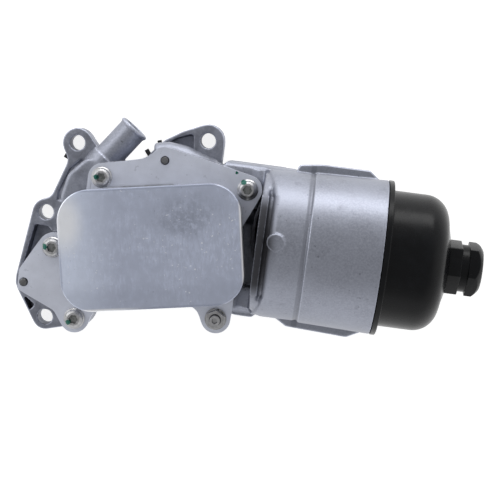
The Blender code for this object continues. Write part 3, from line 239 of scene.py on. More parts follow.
def place_on(piece, material, node):
    """Gives a piece its finish, and lets it move with the body that holds the given solid."""
    piece.data.materials.clear()
    piece.data.materials.append(material)
    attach(piece, body_of(node))
    return piece


def stand_for(piece, material, node):
    """As place_on, for a piece that is shown in place of the solid."""
    place_on(piece, material, node)
    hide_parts(node)
    return piece


def dress(node, material):
    """Gives a solid that is shown itself its finish."""
    mesh = frame["nodes"][node].data
    mesh.materials.clear()
    mesh.materials.append(material)


def copy_of(node, name):
    """A copy of a solid as a new piece, with its loose triangles joined up."""
    piece = bpy.data.objects.new(name, frame["nodes"][node].data.copy())
    bpy.context.scene.collection.objects.link(piece)
    edit(piece)
    bpy.ops.mesh.select_all(action="SELECT")
    bpy.ops.mesh.remove_doubles(threshold=2e-6)
    leave_edit()
    return piece


def pick_edges(obj, wanted):
    """Selects the edges for which wanted(edge, mesh) holds. Leaves the object in edit mode."""
    edit(obj, "EDGE")
    bpy.ops.mesh.select_all(action="DESELECT")
    leave_edit()
    for line in obj.data.edges:
        line.select = wanted(line, obj.data)
    bpy.ops.object.mode_set(mode="EDIT")


def upright(line, mesh):
    """Whether an edge stands straight up."""
    first, second = (mesh.vertices[index].co for index in line.vertices)
    reach = second - first
    return reach.length > 1e-6 and abs(reach.z) > 0.98 * reach.length


def softened(node, name, width, segments=2, angle=35, round_uprights=False):
    """A copy of a solid with its sharp edges rounded, and the corners of its round walls too."""
    piece = copy_of(node, name)
    edit(piece)
    bpy.ops.mesh.select_all(action="SELECT")
    bpy.ops.mesh.dissolve_limited(angle_limit=math.radians(0.5))
    leave_edit()
    if round_uprights:
        pick_edges(piece, upright)
        bpy.ops.mesh.bevel(
            offset_type="PERCENT", offset_pct=42, segments=3, profile=0.5, clamp_overlap=False
        )
        leave_edit()
    modify(
        piece, "BEVEL", width=width, segments=segments, limit_method="ANGLE",
        angle_limit=math.radians(angle), use_clamp_overlap=True,
    )
    settle(piece)
    modify(piece, "WEIGHTED_NORMAL", keep_sharp=True)
    return piece


def mark_edges(piece):
    """Stores in the attribute "edge" how far each point stands out from its neighbours."""
    mesh = piece.data
    rise = [0.0] * len(mesh.vertices)
    count = [0] * len(mesh.vertices)
    for line in mesh.edges:
        first, second = (mesh.vertices[index] for index in line.vertices)
        along = (second.co - first.co).normalized()
        for point, part in ((first, -along.dot(first.normal)), (second, along.dot(second.normal))):
            rise[point.index] += part
            count[point.index] += 1
    layer = mesh.attributes.new("edge", "FLOAT", "POINT")
    layer.data.foreach_set("value", [total / max(1, number) for total, number in zip(rise, count)])


def circle(name, x, radius, sides, fill, turn=0.0):
    """A flat ring of points round the bowl's axis, in edit mode with all of it selected."""
    select_only(frame["nodes"]["housing"])
    bpy.ops.mesh.primitive_circle_add(
        vertices=sides, radius=radius, fill_type=fill,
        location=(x, 0, BOWL_AXIS_Z), rotation=(0, math.pi / 2, 0),
    )
    piece = bpy.context.object
    piece.name = name
    bpy.ops.object.transform_apply(location=True, rotation=True, scale=True)
    piece.data.transform(
        Matrix.Translation((0, 0, BOWL_AXIS_Z)) @ Matrix.Rotation(turn, 4, "X")
        @ Matrix.Translation((0, 0, -BOWL_AXIS_Z))
    )
    edit(piece)
    bpy.ops.mesh.select_all(action="SELECT")
    return piece


def lathe(name, profile, sides=128, hollow=False, turn=0.0):
    """A turned piece on the bowl's axis, pushed out ring by ring from its first circle.

    The profile is a list of (x, radius). A hollow piece comes back to its first ring.
    """
    (x, radius), rest = profile[0], profile[1:]
    piece = circle(name, x, radius, sides, "NOTHING" if hollow else "NGON", turn)
    for next_x, next_radius in rest + [profile[0]] * hollow:
        bpy.ops.mesh.extrude_region_move(TRANSFORM_OT_translate={"value": (next_x - x, 0, 0)})
        ratio = next_radius / radius
        bpy.ops.transform.resize(value=(1, ratio, ratio), center_override=(next_x, 0, BOWL_AXIS_Z))
        x, radius = next_x, next_radius
    bpy.ops.mesh.select_all(action="SELECT")
    bpy.ops.mesh.remove_doubles(threshold=1e-6)
    bpy.ops.mesh.normals_make_consistent(inside=False)
    leave_edit()
    return piece


def pushed(name, sides, radius, places, rotation=(0, 0, 0)):
    """A round bar, pushed out from place to place from its first disc."""
    select_only(frame["nodes"]["housing"])
    bpy.ops.mesh.primitive_circle_add(
        vertices=sides, radius=radius, fill_type="NGON", location=places[0], rotation=rotation
    )
    bar = bpy.context.object
    bar.name = name
    bpy.ops.object.transform_apply(location=True, rotation=True, scale=True)
    edit(bar)
    bpy.ops.mesh.select_all(action="SELECT")
    for start, end in zip(places, places[1:]):
        step = [after - before for before, after in zip(start, end)]
        bpy.ops.mesh.extrude_region_move(TRANSFORM_OT_translate={"value": step})
    bpy.ops.mesh.select_all(action="SELECT")
    bpy.ops.mesh.normals_make_consistent(inside=False)
    leave_edit()
    return bar


def round_corner(centre_x, centre_radius, size, start, end, steps):
    """Points (x, radius) of a rounded corner in a turned profile, angles in degrees."""
    points = []
    for step in range(steps + 1):
        angle = math.radians(start + (end - start) * step / steps)
        points.append((centre_x + size * math.cos(angle), centre_radius + size * math.sin(angle)))
    return points


def joined(name, *pieces):
    """Several pieces as one, under a new name."""
    select_only(*pieces)
    bpy.ops.object.join()
    pieces[0].name = name
    return pieces[0]


class Field:
    """A number or colour that varies over a surface, with the operators of plain arithmetic."""

    def __init__(self, look, socket):
        self.look = look
        self.socket = socket

    def __add__(self, other):
        return self.look.maths("ADD", self, other)

    def __sub__(self, other):
        return self.look.maths("SUBTRACT", self, other)

    def __rsub__(self, other):
        return self.look.maths("SUBTRACT", other, self)

    def __mul__(self, other):
        return self.look.maths("MULTIPLY", self, other)

    __radd__ = __add__
    __rmul__ = __mul__


class Nodes:
    """The nodes of a material or of the world, added by plain expressions."""

    def __init__(self, tree):
        self.tree = tree

    def node(self, kind, inputs, output=0, **settings):
        """Adds a node, its settings first and then the values or links of its sockets."""
        made = self.tree.nodes.new(kind)
        for key, value in settings.items():
            setattr(made, key, value)
        for key, value in inputs.items():
            self.feed(made.inputs[key], value)
        return Field(self, made.outputs[output])

    def feed(self, socket, value):
        if isinstance(value, Field):
            self.tree.links.new(value.socket, socket)
        else:
            socket.default_value = value

    def maths(self, operation, first, second=0.0):
        return self.node("ShaderNodeMath", {0: first, 1: second}, operation=operation)

    def along(self, axis, place):
        """How far a place lies along X, Y or Z."""
        return self.node("ShaderNodeSeparateXYZ", {0: place}, output=axis)

    def step(self, value, low, high):
        """0 below low and 1 above high, with a soft change between them."""
        return self.node(
            "ShaderNodeMapRange",
            {"Value": value, "From Min": low, "From Max": high, "To Min": 0.0, "To Max": 1.0},
            interpolation_type="SMOOTHSTEP",
        )

    def seen(self):
        """1 for what the camera sees straight or in a gloss, 0 for light that falls on things."""
        straight, glossy, through = (
            self.node("ShaderNodeLightPath", {}, output=f"Is {kind} Ray")
            for kind in ("Camera", "Glossy", "Transmission")
        )
        return self.maths("MAXIMUM", self.maths("MAXIMUM", straight, glossy), through)


class Look(Nodes):
    """A procedural finish while it is being put together."""

    def __init__(self, name):
        self.material = bpy.data.materials.new(name)
        self.material.use_nodes = True
        super().__init__(self.material.node_tree)
        self.shader = self.tree.nodes["Principled BSDF"]
        self.place = self.node("ShaderNodeTexCoord", {}, output="Object")

    def noise(self, scale, detail=3.0, roughness=0.55, place=None, stretch=None):
        source = place or self.place
        if stretch:
            source = self.node("ShaderNodeVectorMath", {0: source, 1: stretch}, operation="MULTIPLY")
        return self.node(
            "ShaderNodeTexNoise",
            {"Vector": source, "Scale": scale, "Detail": detail, "Roughness": roughness},
            output="Fac",
        )

    def band(self, value, low, high, soft):
        """1 between low and high, 0 outside them."""
        return self.step(value, low - soft, low + soft) * (1 - self.step(value, high - soft, high + soft))

    def oval(self, x, y, centre, weights):
        """Distance from a centre, in which each direction has its weight."""
        across, up = x - centre[0], y - centre[1]
        return self.maths("SQRT", across * across * weights[0] + up * up * weights[1])

    def near(self, across, up, reach, soft, rough=0.0):
        """1 close to an upright line, 0 further off than reach."""
        flat = self.node("ShaderNodeVectorMath", {0: self.place, 1: (1, 1, 0)}, operation="MULTIPLY")
        distance = self.node(
            "ShaderNodeVectorMath", {0: flat, 1: (across, up, 0)}, output="Value", operation="DISTANCE"
        )
        return 1 - self.step(distance + rough, reach - soft, reach + soft)

    def paint_marks(self):
        """1 where an inspector's dab of paint lies, with a ragged edge."""
        ragged = PAINT_RAGGED * (self.noise(420, detail=2) - 0.5)
        painted = 0.0
        for across, up, radius in PAINT_MARKS:
            painted = self.maths("MAXIMUM", painted, self.near(across, up, radius, PAINT_SOFT, ragged))
        return painted

    def mix(self, amount, first, second):
        """The first colour or field, with an amount of the second laid over it."""
        first, second = ((*tone, 1) if isinstance(tone, tuple) else tone for tone in (first, second))
        return self.node("ShaderNodeMix", {0: amount, 6: first, 7: second}, output=2, data_type="RGBA")

    def bump(self, height, depth, strength=1.0):
        return self.node(
            "ShaderNodeBump", {"Height": height, "Distance": depth, "Strength": strength}, output="Normal"
        )

    def finish(self, **values):
        """Feeds the shader's sockets and hands over the material."""
        for name, value in values.items():
            self.feed(self.shader.inputs[name.replace("_", " ").title()], value)
        return self.material


def colour(name, default, description):
    return bpy.props.FloatVectorProperty(
        name=name, description=description, subtype="COLOR", size=3, min=0, max=1, default=default
    )


def share(name, default, description):
    return bpy.props.FloatProperty(
        name=name, description=description, subtype="FACTOR", min=0, max=1, default=default
    )


def length(name, default, description):
    return bpy.props.FloatProperty(
        name=name, description=description, subtype="DISTANCE", unit="LENGTH", min=0, default=default,
        precision=5,
    )


class CastingSettings(bpy.types.PropertyGroup):
    """The cast housing's surface."""

    metal: colour("Metal", (0.290, 0.305, 0.360), "Colour of the blasted casting")
    # One colour for grime and pits, and for the painted shade in the hollows and beside the bowl
    grime_and_shade: colour("Stain", (0.055, 0.055, 0.062), "Colour of the grime in its hollows")
    pin: colour("Pin", (0.17, 0.17, 0.175), "Colour of the dowel pins' heads")
    roughness: share("Roughness", 0.46, "How dull the casting is")
    grain: length("Grain", 0.00008, "Height of the cast surface's grain")
    fillet: length("Fillet", 0.00055, "Size of the cells that round the casting's edges")
    triangles: bpy.props.IntProperty(
        name="Triangles", description="Most triangles of the casting", min=1000, default=180000
    )


class SheetSettings(bpy.types.PropertyGroup):
    """The brazed sheets of the cooler and of the plate under it."""

    plate: colour("Plate", (0.70, 0.73, 0.83), "Colour of the base plate")
    core: colour("Core", (0.56, 0.58, 0.64), "Colour of the stacked plates")
    flux: colour("Flux", (0.20, 0.17, 0.13), "Colour of the brazing flux left on them")
    cover: colour("Cover", (0.54, 0.585, 0.725), "Colour of the cover")
    # This pale colour also serves for the painted highlight on the cover's rim and for the painted glint at
    # its corner
    rim: colour("Rim", (0.92, 0.93, 0.96), "Colour of the cover's bright rim and specks")
    paint: colour("Paint", (0.004, 0.120, 0.085), "Colour of the inspection marks")
    edge: length("Edge", 0.0004, "Rounding of a cut sheet's edge")


class CapSettings(bpy.types.PropertyGroup):
    """The plastic screw cap."""

    plastic: colour("Plastic", (0.0028, 0.0031, 0.0040), "Colour of the moulded plastic")
    dust: colour("Dust", (0.10, 0.10, 0.10), "Colour of the specks on it")
    roughness: share("Roughness", 0.27, "How dull the plastic is")
    specular: share("Specular", 0.16, "How strongly the plastic reflects")


class FastenerSettings(bpy.types.PropertyGroup):
    """Bolts, stud and nut."""

    zinc: colour("Zinc", (0.50, 0.50, 0.51), "Colour of the plating")
    paint: colour("Paint", (0.004, 0.120, 0.085), "Colour of the inspection marks")
    # Colour of the painted shade in the drive sockets
    socket_shade: colour("Dirt", (0.11, 0.12, 0.11), "Colour of the dirt in the drive sockets")
    edge: length("Edge", 0.0002, "Rounding of a fastener's edges")


class FilterSettings(bpy.types.PropertyGroup):
    """The cartridge, the valve and the seals."""

    paper: colour("Paper", (0.62, 0.50, 0.28), "Colour of the filter paper")
    plastic: colour("Plastic", (0.07, 0.16, 0.09), "Colour of the cartridge's plastic")
    steel: colour("Steel", (0.5, 0.5, 0.5), "Colour of the valve's spring and retainer")
    rubber: colour("Rubber", (0.02, 0.02, 0.022), "Colour of the seals")


class StageSettings(bpy.types.PropertyGroup):
    """Floor, backdrop and lamps."""

    floor: colour("Floor", (0.55, 0.55, 0.55), "Colour of the floor")
    lift: share("Lift", 0.82, "Light that the floor adds to what the camera sees of it")
    sky: bpy.props.FloatProperty(
        name="Sky", description="Strength of the light all round", min=0, default=0.5
    )
    ceiling: share("Ceiling", 0.50, "How bright the studio is overhead, as polished metal shows it")


def shaded(tone, amount):
    """A darker or paler shade of a colour."""
    return tuple(min(1.0, amount * part) for part in tone)


def cast_aluminium(settings):
    """Blasted casting: cloudy and finely grained, with pits, pale rubs and grime low down, painted
    highlights on its standing edges, and painted shade in its hollows, in the groove on the bowl and beside
    the bowl.
    """
    look = Look("cast_aluminium")
    x, y, z = (look.along(axis, look.place) for axis in "XYZ")
    grain = look.noise(2300, detail=2)
    speckle = look.noise(900, detail=3, roughness=0.7)
    cloud = look.noise(48, detail=5, roughness=0.62)
    pits = look.step(look.noise(430, detail=3), 0.68, 0.73)
    low = 1 - look.step(z, *GRIME_Z)
    grime = look.step(look.noise(120, detail=4) + 0.22 * low, 0.60, 0.86)
    rubs = look.step(look.noise(90, detail=6, roughness=0.75), 0.60, 0.68)
    off_axis = look.maths("ABSOLUTE", y)
    # Painted shade in the valley between the cooler and the bowl, where the wall faces away from the lamps;
    # the surface is also duller there
    past_cooler = look.step(x + 0.004 * (cloud - 0.5), *VALLEY_START_X)
    before_bowl = 1 - look.step(x + VALLEY_SLANT * off_axis, *VALLEY_END_X)
    beside_axis = 1 - look.step(off_axis, *VALLEY_HALF_WIDTH)
    valley = past_cooler * before_bowl * beside_axis * look.step(z, *VALLEY_Z)
    groove = look.band(x, *GROOVE, 0.0004)
    edge = look.node("ShaderNodeAttribute", {}, output="Fac", attribute_name="edge")
    # Painted highlight on the edges that stand out from their neighbours
    painted_edge_highlight = look.step(edge, 0.04, 0.18)
    # Painted shade in the hollows, where the surface dips below its neighbours
    hollow = look.step(-1 * edge, 0.05, 0.22)
    tone = look.mix(
        look.step(cloud, 0.30, 0.72), shaded(settings.metal, 0.86), shaded(settings.metal, 1.06)
    )
    tone = look.mix(look.step(speckle, 0.35, 0.68) * 0.7, tone, shaded(settings.metal, 1.20))
    # Painted shade in the groove on the bowl
    tone = look.mix(groove * 0.5, tone, shaded(settings.metal, 0.55))
    # Painted shade in the hollows, in the grime colour
    tone = look.mix(hollow * 0.45, tone, tuple(settings.grime_and_shade))
    tone = look.mix(rubs * 0.22, tone, shaded(settings.metal, 1.40))
    tone = look.mix(grime * 0.35, tone, tuple(settings.grime_and_shade))
    tone = look.mix(pits * 0.45, tone, tuple(settings.grime_and_shade))
    # Painted shade in the valley beside the bowl
    tone = look.mix(valley * 0.95, tone, shaded(settings.grime_and_shade, 0.7))
    # Painted highlight on the standing edges, weaker where the valley has painted shade
    tone = look.mix(painted_edge_highlight * (0.70 - 0.45 * valley), tone, shaded(settings.metal, 2.1))
    turned = look.step(x, BOWL_STEP_X - 0.0002, BOWL_STEP_X + 0.0002)
    rough = settings.roughness + 0.12 * (cloud - 0.5) + 0.12 * (speckle - 0.5)
    rough = rough + 0.10 * grime - 0.04 * turned + 0.25 * valley
    height = 0.8 * grain + 0.6 * speckle - 0.7 * pits
    return look.finish(
        base_color=tone, roughness=rough, metallic=0.85, normal=look.bump(height, settings.grain, 0.6)
    )


def plate_sheet(settings):
    """Rolled sheet: fine scratches along it, small dark spots and the inspector's paint."""
    look = Look("base_plate_sheet")
    scratch = look.noise(420, detail=3, stretch=(1, 5, 1))
    cloud = look.noise(60, detail=4)
    spot = look.step(look.noise(420, detail=2), 0.67, 0.73)
    tone = look.mix(
        look.step(cloud, 0.3, 0.7), shaded(settings.plate, 0.90), shaded(settings.plate, 1.04)
    )
    tone = look.mix(spot * 0.3, tone, shaded(settings.plate, 0.5))
    tone = look.mix(look.paint_marks(), tone, tuple(settings.paint))
    rough = 0.46 + 0.2 * (scratch - 0.5) + 0.1 * spot
    height = scratch + 0.5 * look.noise(2200, detail=2)
    return look.finish(
        base_color=tone, roughness=rough, metallic=0.8, normal=look.bump(height, 0.00002, 0.4)
    )


def core_sheet(settings):
    """Brazed sheet: cloudy, with dull stains of flux."""
    look = Look("core_sheet")
    cloud = look.noise(90, detail=4)
    flux = look.step(look.noise(260, detail=4), 0.58, 0.72)
    tone = look.mix(look.step(cloud, 0.35, 0.7), shaded(settings.core, 0.7), tuple(settings.core))
    tone = look.mix(flux * 0.3, tone, tuple(settings.flux))
    rough = 0.40 + 0.25 * (cloud - 0.5) + 0.15 * flux
    return look.finish(
        base_color=tone, roughness=rough, metallic=0.85, normal=look.bump(look.noise(900), 0.00003, 0.5)
    )


def cover_sheet(settings):
    """Pressed cover: drawn grain, a dark blotch and bright specks; painted light to the left and painted
    shade low down, painted shade round the rim with a painted highlight on its right and lower edges, and a
    painted glint near one corner.
    """
    half_length, half_width = (side / 2 for side in COVER_SIZE)
    look = Look("cover_sheet")
    turned = look.node(
        "ShaderNodeMapping",
        {
            "Vector": look.place,
            "Location": Matrix.Rotation(-COOLER_TURN, 3, "Z") @ -Vector((*COOLER_CENTRE, 0)),
            "Rotation": (0, 0, -COOLER_TURN),
        },
        vector_type="POINT",
    )
    x, y = look.along("X", turned), look.along("Y", turned)
    past_end = look.maths("ABSOLUTE", x) - half_length
    past_side = look.maths("ABSOLUTE", y) - half_width
    rim = look.step(look.maths("MAXIMUM", past_end, past_side), *RIM_EDGE)
    # Where the rim gets a painted highlight: its right end and its lower edge
    lower_rim_highlight = look.step(-1 * y, *RIM_HIGHLIGHT_LOWER) * (1 - look.step(x, *RIM_HIGHLIGHT_LOWER_END))
    painted_edge_highlight = look.maths("MAXIMUM", look.step(x, *RIM_HIGHLIGHT_RIGHT), lower_rim_highlight)
    grain = look.noise(1100, detail=3, roughness=0.7, place=turned, stretch=(1, 0.22, 1))
    mottle = look.noise(230, detail=5, roughness=0.7)
    cloud = look.noise(34, detail=4)
    # Painted light on the cover's left side
    left = 1 - look.step(x, *PAINTED_LIGHT_LEFT)
    # Painted shade on the cover's lower part
    low = 1 - look.step(y + 0.004 * cloud, *PAINTED_SHADE_LOWER)
    off_blotch = look.oval(x, y, *BLOTCH) + 0.024 * (cloud - 0.5)
    blotch = (1 - look.step(off_blotch, *BLOTCH_REACH)) * look.step(mottle, 0.36, 0.56)
    # A painted glint near the cover's upper left corner
    glint = 1 - look.step(look.oval(x, y, *GLINT), *GLINT_REACH)
    specks = look.step(look.noise(620, detail=2), 0.66, 0.71) * look.step(cloud, 0.42, 0.56)
    pits = look.step(look.noise(640, detail=2, stretch=(1, 1, 3)), 0.71, 0.75)
    tone = look.mix(
        look.step(cloud * 0.5 + mottle * 0.5, 0.38, 0.62),
        shaded(settings.cover, 0.84), shaded(settings.cover, 1.07),
    )
    tone = look.mix(look.step(grain, 0.32, 0.70), shaded(settings.cover, 0.86), tone)
    # Painted light on the left side
    tone = look.mix(left * 0.65, tone, shaded(settings.cover, 1.45))
    # Painted shade on the lower part
    tone = look.mix(low * 0.30, tone, shaded(settings.cover, 0.62))
    tone = look.mix(blotch * 0.60, tone, shaded(settings.cover, 0.42))
    tone = look.mix(pits * 0.40, tone, shaded(settings.cover, 0.30))
    tone = look.mix(specks * 0.60, tone, tuple(settings.rim))
    # Painted shade all round the rim, and a painted highlight on its right and lower edges
    tone = look.mix(rim * 0.6, tone, shaded(settings.cover, 0.55))
    tone = look.mix(rim * painted_edge_highlight, tone, tuple(settings.rim))
    # The painted glint, in the rim's pale colour
    tone = look.mix(glint * 0.85, tone, tuple(settings.rim))
    rough = 0.46 + 0.25 * (mottle - 0.5) + 0.15 * (grain - 0.5) + rim * (0.25 - 0.30 * painted_edge_highlight)
    height = grain + 0.6 * mottle - 0.8 * pits
    return look.finish(
        base_color=tone, roughness=rough, metallic=0.8, normal=look.bump(height, 0.00005, 0.4)
    )


def cap_plastic(settings):
    """Black moulded plastic with a satin skin and specks of dust."""
    look = Look("cap_plastic")
    look.shader.inputs["Specular IOR Level"].default_value = settings.specular
    haze = look.noise(160, detail=4)
    dust = look.step(look.noise(1400, detail=2), 0.74, 0.78)
    rough = settings.roughness + 0.14 * (haze - 0.5) + 0.2 * dust
    tone = look.mix(look.step(haze, 0.4, 0.8), tuple(settings.plastic), shaded(settings.plastic, 1.8))
    tone = look.mix(dust * 0.3, tone, tuple(settings.dust))
    return look.finish(
        base_color=tone, roughness=rough, normal=look.bump(look.noise(2400, detail=2), 0.00002, 0.5)
    )


def zinc_plating(settings):
    """Bright plating, with painted shade in the bolts' drive sockets."""
    look = Look("zinc_plating")
    cloud = look.noise(500, detail=3)
    tone = look.mix(look.step(cloud, 0.3, 0.7), shaded(settings.zinc, 0.72), tuple(settings.zinc))
    height = look.along("Z", look.place)
    painted_socket_shade = 0.0
    for node in BOLTS:
        points = [vertex.co for vertex in frame["nodes"][node].data.vertices]
        spans = [(min(line), max(line)) for line in zip(*points)]
        middle = [(low + high) / 2 for low, high in spans[:2]]
        top = spans[2][1]
        under = 1 - look.step(height, *(top - depth for depth in SOCKET_SHADE))
        painted_socket_shade = look.maths("MAXIMUM", painted_socket_shade, look.near(*middle, SOCKET_RADIUS, 0.0001) * under)
    # Painted shade in the drive sockets
    tone = look.mix(painted_socket_shade * (0.45 + 0.4 * look.step(cloud, 0.40, 0.60)), tone, tuple(settings.socket_shade))
    painted = look.paint_marks()
    tone = look.mix(painted, tone, tuple(settings.paint))
    rough = 0.34 + 0.2 * (cloud - 0.5) + 0.1 * painted
    metallic = 0.9 - 0.85 * painted
    return look.finish(
        base_color=tone, roughness=rough, metallic=metallic,
        normal=look.bump(look.noise(1800), 0.00002, 0.5),
    )


def plain_finish(name, shade, roughness, metallic, scale, depth):
    """A moulded, drawn or pressed finish with a little variation in tone and grain."""
    look = Look(name)
    cloud = look.noise(scale, detail=4)
    tone = look.mix(look.step(cloud, 0.3, 0.75), shaded(shade, 0.75), tuple(shade))
    rough = roughness + 0.15 * (cloud - 0.5)
    return look.finish(
        base_color=tone, roughness=rough, metallic=metallic,
        normal=look.bump(look.noise(6 * scale), depth, 0.5),
    )


class PieceOperator(bpy.types.Operator):
    """Makes and finishes one group of pieces"""

    bl_options = {"REGISTER", "UNDO"}


class OILCOOLER_OT_casting(PieceOperator):
    """Rounds the edges of the cast housing and gives it a blasted aluminium surface"""

    bl_idname = "oil_cooler.casting"
    bl_label = "Cast housing"

    def execute(self, context):
        settings = context.scene.oil_cooler_casting
        casting = joined("casting", copy_of("housing", "casting"), self.bowl_skin(), self.gallery_root())
        modify(casting, "REMESH", mode="VOXEL", voxel_size=settings.fillet, adaptivity=0)
        soft = casting.vertex_groups.new(name="soft")
        soft.add([v.index for v in casting.data.vertices if self.is_soft(v.co)], 1, "REPLACE")
        modify(casting, "SMOOTH", factor=0.5, iterations=60, vertex_group="soft")
        casting.vertex_groups.clear()
        modify(casting, "SMOOTH", factor=0.5, iterations=4)
        count = 2 * len(casting.data.polygons)
        modify(casting, "DECIMATE", ratio=min(1, settings.triangles / count))
        settle(casting, 180)
        mark_edges(casting)
        stand_for(casting, cast_aluminium(settings), "housing")
        steel = plain_finish("pin_steel", settings.pin, 0.5, 0.7, 500, 0.00002)
        for number, (across, up) in enumerate(PINS, 1):
            place_on(self.pin(f"dowel_pin_{number}", across, up), steel, "housing")
        return {"FINISHED"}

    def pin(self, name, across, up):
        """The head of a dowel pin, over the one that the casting's solid has."""
        pin = pushed(name, 32, PIN_RADIUS, [(across, up, PIN_TOP - PIN_HEIGHT), (across, up, PIN_TOP)])
        modify(pin, "BEVEL", width=0.0004, segments=3, limit_method="ANGLE")
        return settle(pin)

    def bowl_skin(self):
        """The bowl's outer skin, rounder than the solid it is laid over."""
        profile = [
            *round_corner(*SHOULDER_CENTRE, SHOULDER_ROUND, 135, 90, 4),
            (BOWL_STEP_X - 0.0030, BOWL_BACK_RADIUS),
            (BOWL_STEP_X - 0.0015, BOWL_BACK_RADIUS - GROOVE_DEPTH),
            (BOWL_STEP_X - 0.0010, BOWL_BACK_RADIUS - GROOVE_DEPTH),
            (BOWL_STEP_X, BOWL_STEP_RADIUS),
            (BOWL_MOUTH_X, BOWL_MOUTH_RADIUS),
            (BOWL_MOUTH_X, BOWL_MOUTH_RADIUS - BOWL_SKIN),
            (BOWL_STEP_X, BOWL_BACK_RADIUS - BOWL_SKIN),
        ]
        return lathe("bowl_skin", profile, hollow=True)

    def gallery_root(self):
        """The round root of the gallery's wall, pushed out point by point along the flange."""
        places = [(across, up, GALLERY_ROOT_Z) for across, up in GALLERY_ROOT]
        return pushed("gallery_root", 16, GALLERY_ROOT_RADIUS, places, (math.pi / 2, 0, 0))

    def is_soft(self, place):
        """Whether a point lies where the bowl's cheeks run out, or on the bulge between the upper ears."""
        near, far = CHEEK_RUN_OUT_X
        on_cheek = near < place.x < far and abs(place.y) > CHEEK_RUN_OUT_Y and place.z > CHEEK_RUN_OUT_Z
        on_bulge = all(low < part < high for part, (low, high) in zip(place, UPPER_BULGE))
        return on_cheek or on_bulge


class OILCOOLER_OT_cooler(PieceOperator):
    """Makes the cover of the plate stack and finishes the stack and the plate under it"""

    bl_idname = "oil_cooler.cooler"
    bl_label = "Plate cooler"

    def execute(self, context):
        settings = context.scene.oil_cooler_sheet
        plate = softened("cooler_base_plate", "base_plate", settings.edge, round_uprights=True)
        stand_for(plate, plate_sheet(settings), "cooler_base_plate")
        core = core_sheet(settings)
        for node in [name for name in frame["nodes"] if name.startswith("core_")]:
            stand_for(softened(node, f"{node}_sheet", settings.edge / 3, round_uprights=True), core, node)
        stand_for(self.cover(settings.edge), cover_sheet(settings), "cooler_cover")
        return {"FINISHED"}

    def cover(self, edge):
        """A pressed lid: a block with rounded corners, its rim bevelled and its underside hollowed."""
        low, high = COVER_HEIGHTS
        select_only(frame["nodes"]["housing"])
        bpy.ops.mesh.primitive_cube_add(
            size=1, location=(0, 0, (low + high) / 2), scale=(*COVER_SIZE, high - low)
        )
        cover = bpy.context.object
        cover.name = "cover"
        bpy.ops.object.transform_apply(location=True, rotation=True, scale=True)
        pick_edges(cover, upright)
        bpy.ops.mesh.bevel(offset=COVER_CORNER, segments=20, profile=0.5)
        leave_edit()
        pick_edges(cover, lambda line, mesh: all(mesh.vertices[i].co.z > high - 1e-5 for i in line.vertices))
        bpy.ops.mesh.bevel(offset=1.8 * edge, segments=4, profile=0.5)
        edit(cover, "FACE")
        bpy.ops.mesh.select_all(action="DESELECT")
        leave_edit()
        for face in cover.data.polygons:
            face.select = face.normal.z < -0.9
        bpy.ops.object.mode_set(mode="EDIT")
        bpy.ops.mesh.inset(thickness=COVER_WALL)
        bpy.ops.transform.translate(value=(0, 0, high - low - COVER_WALL))
        leave_edit()
        cover.matrix_world = Matrix.Translation((*COOLER_CENTRE, 0)) @ Matrix.Rotation(COOLER_TURN, 4, "Z")
        settle(cover)
        modify(cover, "WEIGHTED_NORMAL", keep_sharp=True)
        return cover


class OILCOOLER_OT_fasteners(PieceOperator):
    """Rounds the edges of the bolts, stud and nut, plates them and marks them with paint"""

    bl_idname = "oil_cooler.fasteners"
    bl_label = "Fasteners"

    def execute(self, context):
        settings = context.scene.oil_cooler_fastener
        zinc = zinc_plating(settings)
        for node in BOLTS + ("stud", "flange_nut"):
            stand_for(softened(node, f"{node}_plated", settings.edge), zinc, node)
        return {"FINISHED"}


